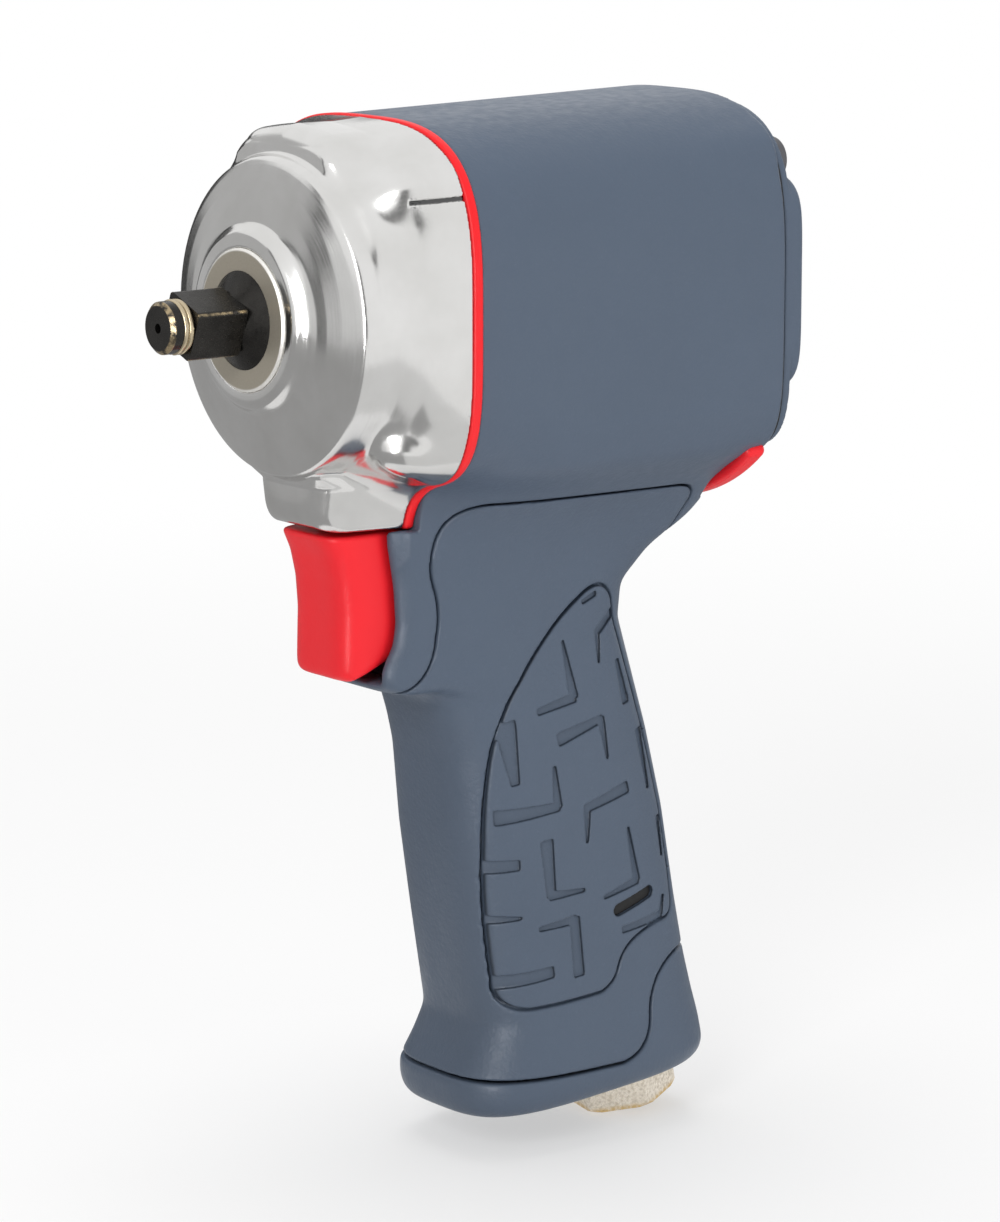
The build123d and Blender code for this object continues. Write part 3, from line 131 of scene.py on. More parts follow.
DOME_RADIUS = 6.5
DOME_MIDDLE = 26.0
DOME_STRETCH = 1.9
DOME_BLEND = 2.4
BOLT_TIP = 17.4
SCRIBE_X = (17.5, 27.2)
SCRIBE_Z = (22.0, 22.6)
SCRIBE_HALF = 0.42
SCRIBE_DEPTH = 0.40
SCRIBE_EDGE = 0.12

# Handle: height, front, rear and half width
HANDLE = np.array((
    (-28.0, 30.0, 100.8, 29.0),
    (-34.0, 30.0, 100.4, 22.5),
    (-39.0, 29.8, 99.4, 18.4),
    (-43.5, 29.6, 96.5, 16.2),
    (-48.5, 29.4, 88.0, 15.0),
    (-55.0, 29.4, 81.8, 14.5),
    (-62.0, 30.4, 82.0, 14.6),
    (-72.0, 35.2, 84.7, 15.3),
    (-78.0, 37.4, 86.3, 15.8),
    (-84.0, 39.0, 88.0, 16.2),
    (-100.0, 40.8, 91.8, 17.0),
    (-118.0, 43.6, 95.0, 17.2),
    (-130.0, 45.6, 97.5, 17.3),
    (-137.5, 47.0, 99.4, 17.7),
    (-143.0, 44.6, 100.8, 18.8),
    (-148.0, 41.6, 101.6, 19.8),
    (-153.0, 42.0, 101.6, 19.8),
))
HANDLE_TOP = -24.0
HANDLE_ROUND = 3.2
HANDLE_BLEND = 6.0
NECK_END = -60.0
NECK_OVERHANG = 10.0    # how far the handle may reach past the barrel's rear below the neck
NECK_HEIGHTS = (-62.0, -40.0)
NECK_ROUNDS = (3.2, 5.5)
BASE_BOTTOM = -155.2
BASE_FRONT = 45.4
BASE_TILT = 0.07
BASE_EDGE = 5.0
CORE_BOTTOM = -148.0
SKIN = 2.2

# Trigger guard and trigger: height and front
GUARD = np.array(((-36.0, 23.0), (-42.0, 23.0), (-50.0, 24.4), (-57.0, 24.9), (-61.0, 24.2), (-64.0, 22.4),
                  (-66.0, 21.6), (-68.0, 21.8), (-69.4, 23.0), (-70.6, 25.4)))
GUARD_REAR = 62.0
GUARD_HALF_WIDTH = 14.0
GUARD_TOP = -39.5
GUARD_ROUND = 5.0
GUARD_EASE = 1.5
GUARD_EDGE = 3.0
GUARD_BLEND = 4.0
TRIGGER = np.array(((-40.0, 12.7), (-44.0, 14.6), (-49.0, 15.8), (-55.0, 16.3), (-61.0, 16.1), (-64.6, 16.0),
                    (-67.4, 16.3)))
TRIGGER_ROUND = 4.2
TRIGGER_EASE = 1.6
TRIGGER_HOLLOW = 0.4
TRIGGER_TOP_EDGE = 1.0
TRIGGER_BOTTOM_EDGE = 2.2
TRIGGER_HEEL = 18.5
TRIGGER_RISE = 0.42
TRIGGER_REAR = 36.0
TRIGGER_HALF_WIDTH = 9.2
TRIGGER_ROOM = 0.5
TRIGGER_TRAVEL = 4.5
RECESS_FRONT = -20.0
RECESS_CORNER = 1.0
RECESS_EDGE = 2.4

# Trigger rod: height of its axis, its hole in the trigger and its room in the housing
ROD_Z = -54.0
ROD_HOLE = 2.1
ROD_HOLE_DEPTH = 8.1
ROD_ROOM = 4.05

# Room for the reverse lever: radii, top, and the height and place of its front wall
LEVER_ROOM = (33.9, 42.4)
LEVER_ROOM_TOP = -31.0
LEVER_ROOM_EDGE = 0.8
WALL_EDGE = np.array((
    (-31.4, 104.0), (-33.0, 99.6), (-34.0, 97.0), (-36.0, 95.4), (-39.0, 95.2), (-44.0, 95.2),
))
WALL_EASE = 1.0

# Seams in side view: start, middle and end of each curve
COVER_SEAM = (
    ((86.8, -52.6), (89.0, -45.6), (90.9, -39.6)),
    ((90.9, -39.6), (89.7, -37.1), (85.6, -36.0)),
    ((42.0, -35.2), (35.2, -37.4), (31.8, -44.2)),
    ((31.8, -44.2), (31.95, -47.4), (33.0, -51.4)),
    ((33.0, -51.4), (33.6, -55.6), (33.2, -60.0)),
    ((33.2, -60.0), (30.8, -66.4), (24.6, -70.8)),
)
COVER_SEAM_EXIT = -71.2
BASE_SEAM = (
    ((74.0, -147.2), (79.4, -144.6), (81.8, -139.4)),
    ((81.8, -139.4), (84.6, -132.0), (91.0, -128.5)),
)
GRIP_SEAM = (
    ((75.4, -57.2), (72.0, -54.4), (67.6, -55.4)),
    ((67.6, -55.4), (53.6, -67.4), (46.0, -82.0)),
    ((46.0, -82.0), (44.9, -102.0), (48.0, -128.0)),
    ((48.0, -128.0), (49.6, -132.4), (54.0, -134.0)),
    ((70.0, -132.9), (72.8, -131.2), (74.2, -128.8)),
    ((74.2, -128.8), (78.3, -123.7), (87.0, -121.4)),
    ((87.0, -121.4), (89.2, -120.2), (89.7, -117.6)),
    ((89.7, -117.6), (85.8, -94.5), (75.4, -57.2)),
)
SEAM_GAP = 0.22
GRIP_GAP = 0.28
BASE_GAP = 0.32
SEAM_ROUND = 0.55
GRIP_INNER = 6.0
GRIP_LIFT = 0.3
GRIP_SKIN = 1.3
GRIP_ROOM = 0.1

# Tread of the grip panels in side view: bars from one end to the other with their half widths
TREAD = (
    ((62.3, -64.0), (64.4, -74.6), 0.35, 1.1), ((64.4, -75.0), (55.9, -76.6), 1.0, 0.7),
    ((48.6, -79.0), (50.4, -89.4), 2.2, 1.0),
    ((60.8, -82.4), (70.8, -79.9), 1.3, 0.8), ((70.9, -80.0), (72.1, -87.6), 0.9, 0.35),
    ((59.1, -87.6), (59.8, -95.0), 0.5, 1.0), ((59.8, -95.2), (47.2, -95.9), 0.9, 1.5),
    ((76.6, -94.0), (67.0, -96.4), 1.2, 0.9), ((66.8, -96.2), (66.6, -103.0), 0.9, 0.4),
    ((57.1, -102.1), (58.1, -111.8), 1.5, 1.1), ((58.1, -112.2), (65.9, -112.2), 0.9, 0.4),
    ((45.6, -105.5), (50.8, -105.4), 1.3, 1.1),
    ((46.0, -115.9), (51.9, -115.8), 0.9, 0.35),
    ((47.6, -128.6), (58.2, -127.2), 1.4, 1.2),
    ((55.7, -118.4), (63.4, -117.6), 0.5, 0.9), ((63.6, -117.8), (64.6, -128.2), 1.2, 1.3),
    ((76.8, -101.8), (79.0, -112.2), 0.4, 0.9), ((79.0, -112.4), (70.8, -114.5), 0.9, 0.4),
    ((86.6, -117.0), (85.8, -120.2), 0.6, 0.7), ((85.6, -120.4), (75.5, -121.6), 0.9, 0.7),
    ((67.4, -57.2), (70.6, -56.0), 0.5, 0.6),
    ((76.4, -60.0), (71.6, -63.3), 1.1, 0.8), ((71.3, -63.4), (71.2, -69.2), 0.8, 0.35),
    ((76.6, -69.8), (78.0, -77.4), 0.7, 1.2),
    ((81.4, -84.0), (83.2, -95.0), 1.1, 0.6),
    ((86.0, -101.6), (87.0, -109.0), 0.8, 0.5),
)
TREAD_DEPTH = 0.75
TREAD_EDGE = 0.15
BAR_OVERHANG = 0.6
BAR_CORNER = 0.5
SLOT_ENDS = ((74.3, -117.5), (82.2, -115.3))
SLOT_HALF = 1.25
SLOT_EDGE = 0.2
# Depths below the outside of the black sheet that paints shade into the slot, and its room from the slot's
# edge
SLOT_SHADE_DEPTHS = (-1.35, -0.9)
SLOT_SHADE_ROOM = 0.05

# Rear cover
COVER_FRONT = 101.9
EAR_FACE = 103.9
EAR_FACE_EDGE = 0.5
EAR_FACE_BLEND = 0.6
COVER_REAR = 106.6
COVER_INSET = 1.2
COVER_ARM = (31.6, 21.5)
COVER_ARM_ROUND = 6.0
COVER_SPINE = 16.0
COVER_SPINE_INSET = 1.0
COVER_BLEND = 3.0
COVER_MIDDLE = 1.55
COVER_EDGE = 1.4
BOLT_HEAD_ROOM = 4.9
BOLT_HEAD_EDGE = 0.8
BOLT_HOLE = 2.6

# Base: inlet axis, hex pocket and exhaust slots
INLET_X = 88.0
LEAN = math.radians(12.0)
HEX_ROOM = 11.3
HEX_ROOM_TOP = 2.7
HEX_ROOM_EDGE = 0.5
SHANK_ROOM = 8.3
MUFFLER_X = (52.0, 75.0)
MUFFLER_HALF = 12.0
BASE_FLOOR = 2.6
EXHAUST_SLOTS = 5
EXHAUST_PITCH = 4.4
EXHAUST_HALF = (1.0, 8.0)
EXHAUST_CORNER = 0.8
EXHAUST_EDGE = 0.5

# Throttle spring on the inlet axis, its ends measured up from the bottom of the base
SPRING_ENDS = (67.81, 80.71)
SPRING_RADIUS = 4.2
SPRING_WIRE = 0.5
SPRING_TURNS = 5
TURN_STEPS = 36
WIRE_SIDES = 8

# Anvil and its rings
SQUARE = 9.525
SQUARE_ROLL = math.radians(22.0)
RING_FRONT = -15.3
RING_LENGTH = 2.1
RING_INNER = 4.3
RING_OUTER = 5.0
RING_CROWN = 0.35
RING_TURN = (-84, 264)
NOSE_TIP = -17.8
SQUARE_ROOT = -2.6

# Mesh attribute with the depth of a point below the outside, in millimetres, from which shade is painted on
# the tread's walls
SUNK = "sunk"


def smooth_min(a, b, reach):
    """Union of two fields with a rounded inner corner."""
    h = np.clip(0.5 + 0.5 * (b - a) / reach, 0, 1)
    return b * (1 - h) + a * h - reach * h * (1 - h)


def smooth_max(a, b, reach):
    """Overlap of two fields with a rounded edge."""
    return -smooth_min(-a, -b, reach)


def slab(v, low, high):
    """Signed distance to the range from low to high."""
    return np.maximum(low - v, v - high)


def superbox(u, v, half_u, half_v, n):
    """Signed distance, near its line, to a rounded box outline; a higher n is squarer."""
    su = np.abs(u) / half_u
    sv = np.abs(v) / half_v
    g = np.maximum(su ** n + sv ** n, 1e-9) ** (1 / n)
    slope = g ** (1 - n) * np.hypot(su ** (n - 1) / half_u, sv ** (n - 1) / half_v)
    return (g - 1) / np.maximum(slope, 4e-3)


def rounded_block(x, y, z, low, high, edge):
    """Signed distance to a box with rounded edges."""
    q = []
    for v, lo, hi in zip((x, y, z), low, high):
        q.append(np.abs(v - (lo + hi) / 2) - (hi - lo) / 2 + edge)
    beyond = np.sqrt(sum(np.maximum(a, 0) ** 2 for a in q))
    return beyond + np.minimum(np.maximum(np.maximum(q[0], q[1]), q[2]), 0) - edge


def eased(v, stations, values, reach=3.0):
    """Smooth curve that runs close to the values at the stations."""
    order = np.argsort(stations)
    step = 0.2
    lattice = np.arange(np.min(stations) - 5 * reach, np.max(stations) + 5 * reach, step)
    line = np.interp(lattice, np.asarray(stations)[order], np.asarray(values)[order])
    width = int(reach / step)
    kernel = np.hanning(2 * width + 1)
    kernel /= kernel.sum()
    smooth = np.convolve(np.pad(line, width, mode="edge"), kernel, mode="valid")
    return np.interp(v, lattice, smooth)


def outline(curves, corners=()):
    """Points along curves given by start, middle and end, then the corners."""
    points = []
    for start, middle, end in (np.array(c) for c in curves):
        for t in np.linspace(0, 1, 13):
            points.append(start * (1 - t) * (1 - 2 * t) + middle * 4 * t * (1 - t) + end * t * (2 * t - 1))
    points.extend(np.array(c) for c in corners)
    kept = [points[0]]
    for p in points[1:]:
        if np.hypot(*(p - kept[-1])) > 0.01:
            kept.append(p)
    return np.array(kept)


def side_distance(x, z, polygon):
    """Signed distance in side view to a closed outline, below 0 inside."""
    best = np.full(np.broadcast(x, z).shape, 1e9)
    odd = np.zeros(best.shape, bool)
    for a, b in zip(polygon, np.roll(polygon, -1, axis=0)):
        ex, ez = b - a
        wx = x - a[0]
        wz = z - a[1]
        t = np.clip((wx * ex + wz * ez) / max(ex * ex + ez * ez, 1e-9), 0, 1)
        best = np.minimum(best, (wx - ex * t) ** 2 + (wz - ez * t) ** 2)
        if abs(ez) > 1e-9:
            odd ^= ((a[1] <= z) != (b[1] <= z)) & (wx < wz * ex / ez)
    return np.where(odd, -1, 1) * np.sqrt(best)


def bar_distance(x, z, start, end, half_start, half_end):
    """Signed distance in side view to a tapering bar with square ends."""
    ex = end[0] - start[0]
    ez = end[1] - start[1]
    length = math.hypot(ex, ez)
    along = ((x - start[0]) * ex + (z - start[1]) * ez) / length
    across = np.abs((x - start[0]) * ez - (z - start[1]) * ex) / length
    half = half_start + (half_end - half_start) * np.clip(along / length, 0, 1)
    ends = slab(along, -half_start * BAR_OVERHANG, length + half_end * BAR_OVERHANG)
    return smooth_max(across - half, ends, BAR_CORNER)


def slot_distance(x, z):
    """Signed distance in side view to the round-ended slot in the grip panels."""
    (x0, z0), (x1, z1) = SLOT_ENDS
    t = np.clip(((x - x0) * (x1 - x0) + (z - z0) * (z1 - z0)) / ((x1 - x0) ** 2 + (z1 - z0) ** 2), 0, 1)
    return np.hypot(x - x0 - t * (x1 - x0), z - z0 - t * (z1 - z0)) - SLOT_HALF


# The outlines of the cover and the base are closed by corners far outside the handle
FAR_FRONT = 0
FAR_REAR = 130
FAR_BELOW = -190
FAR_CORNERS = ((FAR_FRONT, FAR_BELOW), (FAR_REAR, FAR_BELOW))
COVER_OUTLINE = outline(
    COVER_SEAM, ((FAR_FRONT, COVER_SEAM_EXIT), *FAR_CORNERS, (FAR_REAR, COVER_SEAM[0][0][1])))
BASE_OUTLINE = outline(
    BASE_SEAM, ((FAR_REAR, BASE_SEAM[-1][-1][1]), *FAR_CORNERS[::-1], (FAR_FRONT, BASE_SEAM[0][0][1])))
GRIP_OUTLINE = outline(GRIP_SEAM)


def chin_outline(y, z, bottom, low_edge=0.9, narrowed=0.0):
    """Chin under the barrel's front, seen from the front."""
    side = np.abs(y) - np.interp(z, CHIN_HEIGHTS, CHIN_HALF_WIDTHS) + narrowed
    return np.maximum(smooth_max(side, bottom - z, low_edge), z - CHIN_TOP)


def rounded_outline(y, z, half_width, top, bottom, round_top, round_bottom):
    """Barrel outline seen from the front."""
    middle = (top + bottom) / 2
    exponent = np.where(z > middle, round_top, round_bottom)
    return superbox(y, z - middle, half_width, (top - bottom) / 2, exponent)


def barrel(x, y, z):
    """Motor barrel with the chin under its front."""
    t = np.clip((x - BARREL_FRONT) / (BARREL_REAR - BARREL_FRONT), 0, 1)
    size = {key: FRONT_SIZE[key] + (REAR_SIZE[key] - FRONT_SIZE[key]) * t for key in FRONT_SIZE}
    d = rounded_outline(y, z, **size)
    chin = np.maximum(chin_outline(y, z, CHIN_BOTTOM - CHIN_SUNK), x - BARREL_FRONT - CHIN_DEPTH)
    d = smooth_min(d, chin, CHIN_SWEEP)
    for by, bz in BOSS_PLACES:
        ear = np.hypot(y - by, z - bz) - np.interp(x, EAR_X, EAR_RADIUS)
        d = smooth_min(d, ear, EAR_BLEND)
    d = smooth_max(d, x - BARREL_REAR, BARREL_EDGE)
    return np.maximum(d, BARREL_FRONT - x)


def handle(x, y, z):
    """Handle down to its base."""
    heights = HANDLE[:, 0]
    front = eased(z, heights, HANDLE[:, 1])
    rear = eased(z, heights, HANDLE[:, 2])
    half_width = eased(z, heights, HANDLE[:, 3])
    along = x - (front + rear) / 2
    exponent = np.where(along > 0, np.interp(z, NECK_HEIGHTS, NECK_ROUNDS), HANDLE_ROUND)
    d = superbox(along, y, (rear - front) / 2, half_width, exponent)
    bottom = BASE_BOTTOM + BASE_TILT * (x - BASE_FRONT)
    d = smooth_max(d, bottom - z, BASE_EDGE)
    d = np.maximum(d, x - BARREL_REAR - np.where(z < NECK_END, NECK_OVERHANG, 0))
    return np.maximum(d, z - HANDLE_TOP)


def guard(x, y, z):
    """Trigger guard in front of the handle."""
    front = eased(z, GUARD[:, 0], GUARD[:, 1], GUARD_EASE)
    d = superbox(x - (front + GUARD_REAR) / 2, y, (GUARD_REAR - front) / 2, GUARD_HALF_WIDTH, GUARD_ROUND)
    return smooth_max(d, slab(z, GUARD[-1, 0], GUARD[0, 0]), GUARD_EDGE)


def outside(x, y, z):
    """Whole outside of the housing, handle and base before the seams."""
    d = smooth_min(barrel(x, y, z), handle(x, y, z), HANDLE_BLEND)
    d = smooth_min(d, guard(x, y, z), GUARD_BLEND)
    d = np.maximum(d, np.minimum(BARREL_FRONT - x, z - GUARD_TOP))
    half = TRIGGER_HALF_WIDTH + TRIGGER_ROOM
    low = (RECESS_FRONT, -half, TRIGGER[-1, 0] - TRIGGER_ROOM)
    high = (TRIGGER_REAR + TRIGGER_TRAVEL + TRIGGER_ROOM, half, TRIGGER[0, 0] + TRIGGER_ROOM)
    d = smooth_max(d, -rounded_block(x, y, z, low, high, RECESS_CORNER), RECESS_EDGE)
    lever_room = np.maximum(slab(np.hypot(y, z), *LEVER_ROOM), z - LEVER_ROOM_TOP)
    lever_room = np.maximum(lever_room, eased(z, WALL_EDGE[:, 0], WALL_EDGE[:, 1], WALL_EASE) - x)
    return smooth_max(d, -lever_room, LEVER_ROOM_EDGE)


def housing(x, y, z):
    """Motor housing: the outside above the handle's seam, bored for the motor."""
    d = outside(x, y, z)
    d = smooth_max(d, -(side_distance(x, z, COVER_OUTLINE) - SEAM_GAP), SEAM_ROUND)
    radius = np.hypot(y, z)
    d = np.maximum(d, -np.maximum(radius - MOTOR_BORE, x - CHAMBER_FRONT))
    d = np.maximum(d, -np.maximum(radius - CHAMBER_BORE, CHAMBER_FRONT - OVERLAP - x))
    for by, bz in BOSS_PLACES:
        d = np.maximum(d, BOLT_HOLE - np.hypot(y - by, z - bz))
    rod = np.maximum(np.hypot(y, z - ROD_Z) - ROD_ROOM, TRIGGER_REAR - x)
    return np.maximum(d, -rod)


def grip_pocket(x, y, z, d):
    """Space in the overmould that the grip panels lie in."""
    region = side_distance(x, z, GRIP_OUTLINE) - GRIP_GAP
    region = np.maximum(region, GRIP_INNER - np.abs(y))
    return np.maximum(region, -(d + GRIP_SKIN + GRIP_ROOM))


def overmould(x, y, z):
    """Soft cover of the handle, a skin over its core."""
    d = outside(x, y, z)
    skin = smooth_max(d, side_distance(x, z, COVER_OUTLINE) + SEAM_GAP, SEAM_ROUND)
    skin = smooth_max(skin, -(side_distance(x, z, BASE_OUTLINE) - BASE_GAP), SEAM_ROUND)
    skin = smooth_max(skin, -grip_pocket(x, y, z, d), SEAM_ROUND)
    return np.maximum(skin, -(d + SKIN))


def grip(side):
    """Grip panel on one side, with its tread cut in."""
    def field(x, y, z):
        d = outside(x, y, z)
        panel = smooth_max(d, side_distance(x, z, GRIP_OUTLINE) + GRIP_GAP, SEAM_ROUND)
        tread = np.full(np.broadcast(x, z).shape, 1e3)
        for start, end, half_start, half_end in TREAD:
            tread = np.minimum(tread, bar_distance(x, z, start, end, half_start, half_end))
        panel = smooth_max(panel, -np.maximum(tread, -(d + TREAD_DEPTH)), TREAD_EDGE)
        panel = smooth_max(panel, -slot_distance(x, z), SLOT_EDGE)
        panel = np.maximum(panel, GRIP_INNER + GRIP_LIFT - y * side)
        return np.maximum(panel, -(d + GRIP_SKIN))
    return field


def slot_shade(side):
    """Black sheet at the bottom of a grip panel's slot: painted shade, standing for the shadow inside the
    slot.
    """
    def field(x, y, z):
        shade_sheet = np.maximum(slot_distance(x, z) + SLOT_SHADE_ROOM, slab(outside(x, y, z), *SLOT_SHADE_DEPTHS))
        return np.maximum(shade_sheet, -y * side)
    return field


def base(x, y, z):
    """Base cap with the inlet's pocket and the exhaust slots."""
    d = outside(x, y, z)
    cap = smooth_max(d, side_distance(x, z, BASE_OUTLINE) + BASE_GAP, SEAM_ROUND)
    along = -(x - INLET_X) * math.sin(LEAN) + (z - BASE_BOTTOM) * math.cos(LEAN)
    across = np.hypot((x - INLET_X) * math.cos(LEAN) + (z - BASE_BOTTOM) * math.sin(LEAN), y)
    cap = smooth_max(cap, -np.maximum(across - HEX_ROOM, along - HEX_ROOM_TOP), HEX_ROOM_EDGE)
    cap = np.maximum(cap, SHANK_ROOM - across)
    floor = BASE_BOTTOM + BASE_FLOOR
    pocket = np.maximum(slab(x, *MUFFLER_X), slab(y, -MUFFLER_HALF, MUFFLER_HALF))
    cap = np.maximum(cap, -np.maximum(pocket, floor - z))
    middle = sum(MUFFLER_X) / 2
    for k in range(EXHAUST_SLOTS):
        slot_x = middle + EXHAUST_PITCH * (k - (EXHAUST_SLOTS - 1) / 2)
        slot = smooth_max(np.abs(x - slot_x) - EXHAUST_HALF[0], np.abs(y) - EXHAUST_HALF[1], EXHAUST_CORNER)
        cap = smooth_max(cap, -np.maximum(slot, z - floor - OVERLAP), EXHAUST_EDGE)
    core = np.maximum(d + SKIN, CORE_BOTTOM - z)
    return np.maximum(cap, -core)


def hammer_case(x, y, z):
    """Polished case: turned bell, flange with hump and chin, bolt domes and a scribed line."""
    radius = np.hypot(y, z)
    face = eased(radius, BELL_RADII, BELL_DEPTHS, BELL_EASE)
    rungs = np.arange(0, BELL_REACH, BELL_STEP)
    slope = np.gradient(eased(rungs, BELL_RADII, BELL_DEPTHS, BELL_EASE), BELL_STEP)
    tilt = np.hypot(1, np.interp(radius, rungs, slope))
    bell = smooth_max((face - x) / tilt, radius - RIM_RADIUS, RIM_EDGE)
    bell = np.maximum(bell, x - FLANGE_X[2])
    flange = rounded_outline(y, z, *(eased(x, FLANGE_X, v, FLANGE_EASE) for v in (
        FLANGE_HALF_WIDTH, FLANGE_TOP, FLANGE_BOTTOM, FLANGE_ROUND_TOP, FLANGE_ROUND_BOTTOM)))
    narrowed = np.interp(x, CHIN_WIDENS, (CHIN_NARROWED, 0))
    chin = chin_outline(y, z, CHIN_BOTTOM, np.interp(x, *CHIN_LOW_EDGE), narrowed)
    d = smooth_min(flange, chin, np.interp(x, CHIN_WIDENS, (CHIN_FRONT_SWEEP, CHIN_SWEEP)))
    crest = np.interp(x, (FLANGE_X[0], CASE_REAR), HUMP_TOP) - HUMP_FALL * np.abs(y)
    hump = smooth_max(np.abs(y) - HUMP_HALF_WIDTH, z - crest, HUMP_CORNER)
    d = smooth_min(d, np.maximum(hump, HUMP_FOOT - z), np.interp(x, *HUMP_SWEEP))
    front = np.interp(z, FRONT_LEVELS, (CHIN_FRONT, FLANGE_X[0], FLANGE_X[0], HUMP_FRONT))
    corner = np.interp(z, FRONT_LEVELS, (CHIN_CORNER, FLANGE_EDGE, FLANGE_EDGE, HUMP_FRONT_EDGE))
    d = smooth_max(d, front - x, corner)
    for by, bz in BOSS_PLACES:
        along = (x - DOME_MIDDLE) / DOME_STRETCH
        dome = np.sqrt(along ** 2 + (y - by) ** 2 + (z - bz + DOME_DROP) ** 2) - DOME_RADIUS
        d = smooth_min(d, dome, DOME_BLEND)
    d = smooth_min(d, bell, BELL_BLEND)
    scribe = np.abs(z - np.interp(x, SCRIBE_X, SCRIBE_Z)) - SCRIBE_HALF
    scribe = np.maximum(np.maximum(scribe, SCRIBE_X[0] - x), -(d + SCRIBE_DEPTH))
    d = smooth_max(d, -scribe, SCRIBE_EDGE)
    d = smooth_max(d, x - CASE_REAR, CASE_REAR_EDGE)
    d = np.maximum(d, -np.maximum(radius - CASE_BORE, CASE_FLOOR - x))
    d = np.maximum(d, NOSE_BORE - radius)
    for by, bz in BOSS_PLACES:
        d = np.maximum(d, -np.maximum(np.hypot(y - by, z - bz) - BOLT_HOLE, BOLT_TIP - x))
    return d


def case_gasket(x, y, z):
    """Red gasket between the case and the housing, a little proud of both."""
    d = smooth_min(rounded_outline(y, z, **FRONT_SIZE), chin_outline(y, z, CHIN_BOTTOM), CHIN_SWEEP)
    d = smooth_max(d - GASKET_PROUD, slab(x, CASE_REAR, BARREL_FRONT), GASKET_EDGE)
    d = np.maximum(d, CASE_BORE - np.hypot(y, z))
    for by, bz in BOSS_PLACES:
        d = np.maximum(d, BOLT_HOLE - np.hypot(y - by, z - bz))
    return d


def trigger(x, y, z):
    """Trigger with a hollowed front."""
    front = eased(z, TRIGGER[:, 0], TRIGGER[:, 1], TRIGGER_EASE)
    front = front - TRIGGER_HOLLOW * (y / TRIGGER_HALF_WIDTH) ** 2
    along = x - (front + TRIGGER_REAR) / 2
    exponent = np.where(along < 0, TRIGGER_ROUND, 2 * TRIGGER_ROUND)
    d = superbox(along, y, (TRIGGER_REAR - front) / 2, TRIGGER_HALF_WIDTH, exponent)
    d = smooth_max(d, z - TRIGGER[0, 0], TRIGGER_TOP_EDGE)
    bottom = TRIGGER[-1, 0] + TRIGGER_RISE * np.maximum(x - TRIGGER_HEEL, 0)
    d = smooth_max(d, bottom - z, TRIGGER_BOTTOM_EDGE)
    rod = np.maximum(np.hypot(y, z - ROD_Z) - ROD_HOLE, TRIGGER_REAR - ROD_HOLE_DEPTH - x)
    return np.maximum(d, -rod)


def rear_cover(x, y, z):
    """Rear cover with a raised crown and sunk bolt heads."""
    rim = rounded_outline(y, z, **REAR_SIZE) + COVER_INSET
    ears = smooth_max(rim, slab(x, COVER_FRONT, EAR_FACE), EAR_FACE_EDGE)
    arms = superbox(y, z - COVER_MIDDLE, *COVER_ARM, COVER_ARM_ROUND)
    spine = smooth_max(rim + COVER_SPINE_INSET, np.abs(y) - COVER_SPINE, COVER_BLEND)
    crown = smooth_max(smooth_min(arms, spine, COVER_BLEND), x - COVER_REAR, COVER_EDGE)
    crown = np.maximum(crown, COVER_FRONT - x)
    for by, bz in BOSS_PLACES:
        room = np.maximum(np.hypot(y - by, z - bz) - BOLT_HEAD_ROOM, EAR_FACE - x)
        crown = smooth_max(crown, -room, BOLT_HEAD_EDGE)
    d = smooth_min(ears, crown, EAR_FACE_BLEND)
    for by, bz in BOSS_PLACES:
        d = np.maximum(d, BOLT_HOLE - np.hypot(y - by, z - bz))
    return d


def slopes(field, points, step=0.04):
    """Value of the field at scattered points and its gradient."""
    gradient = np.empty_like(points)
    for axis in range(3):
        shift = np.zeros(3)
        shift[axis] = step
        ahead = field(*(points + shift).T)
        behind = field(*(points - shift).T)
        gradient[:, axis] = (ahead - behind) / (2 * step)
    return field(*points.T), gradient


def smooth_piece(name, verts, faces):
    """Smooth-shaded mesh in the scene."""
    mesh = bpy.data.meshes.new(name)
    mesh.from_pydata(verts, [], faces)
    mesh.polygons.foreach_set("use_smooth", np.ones(len(mesh.polygons), bool))
    mesh.update()
    piece = bpy.data.objects.new(name, mesh)
    bpy.context.scene.collection.objects.link(piece)
    return piece


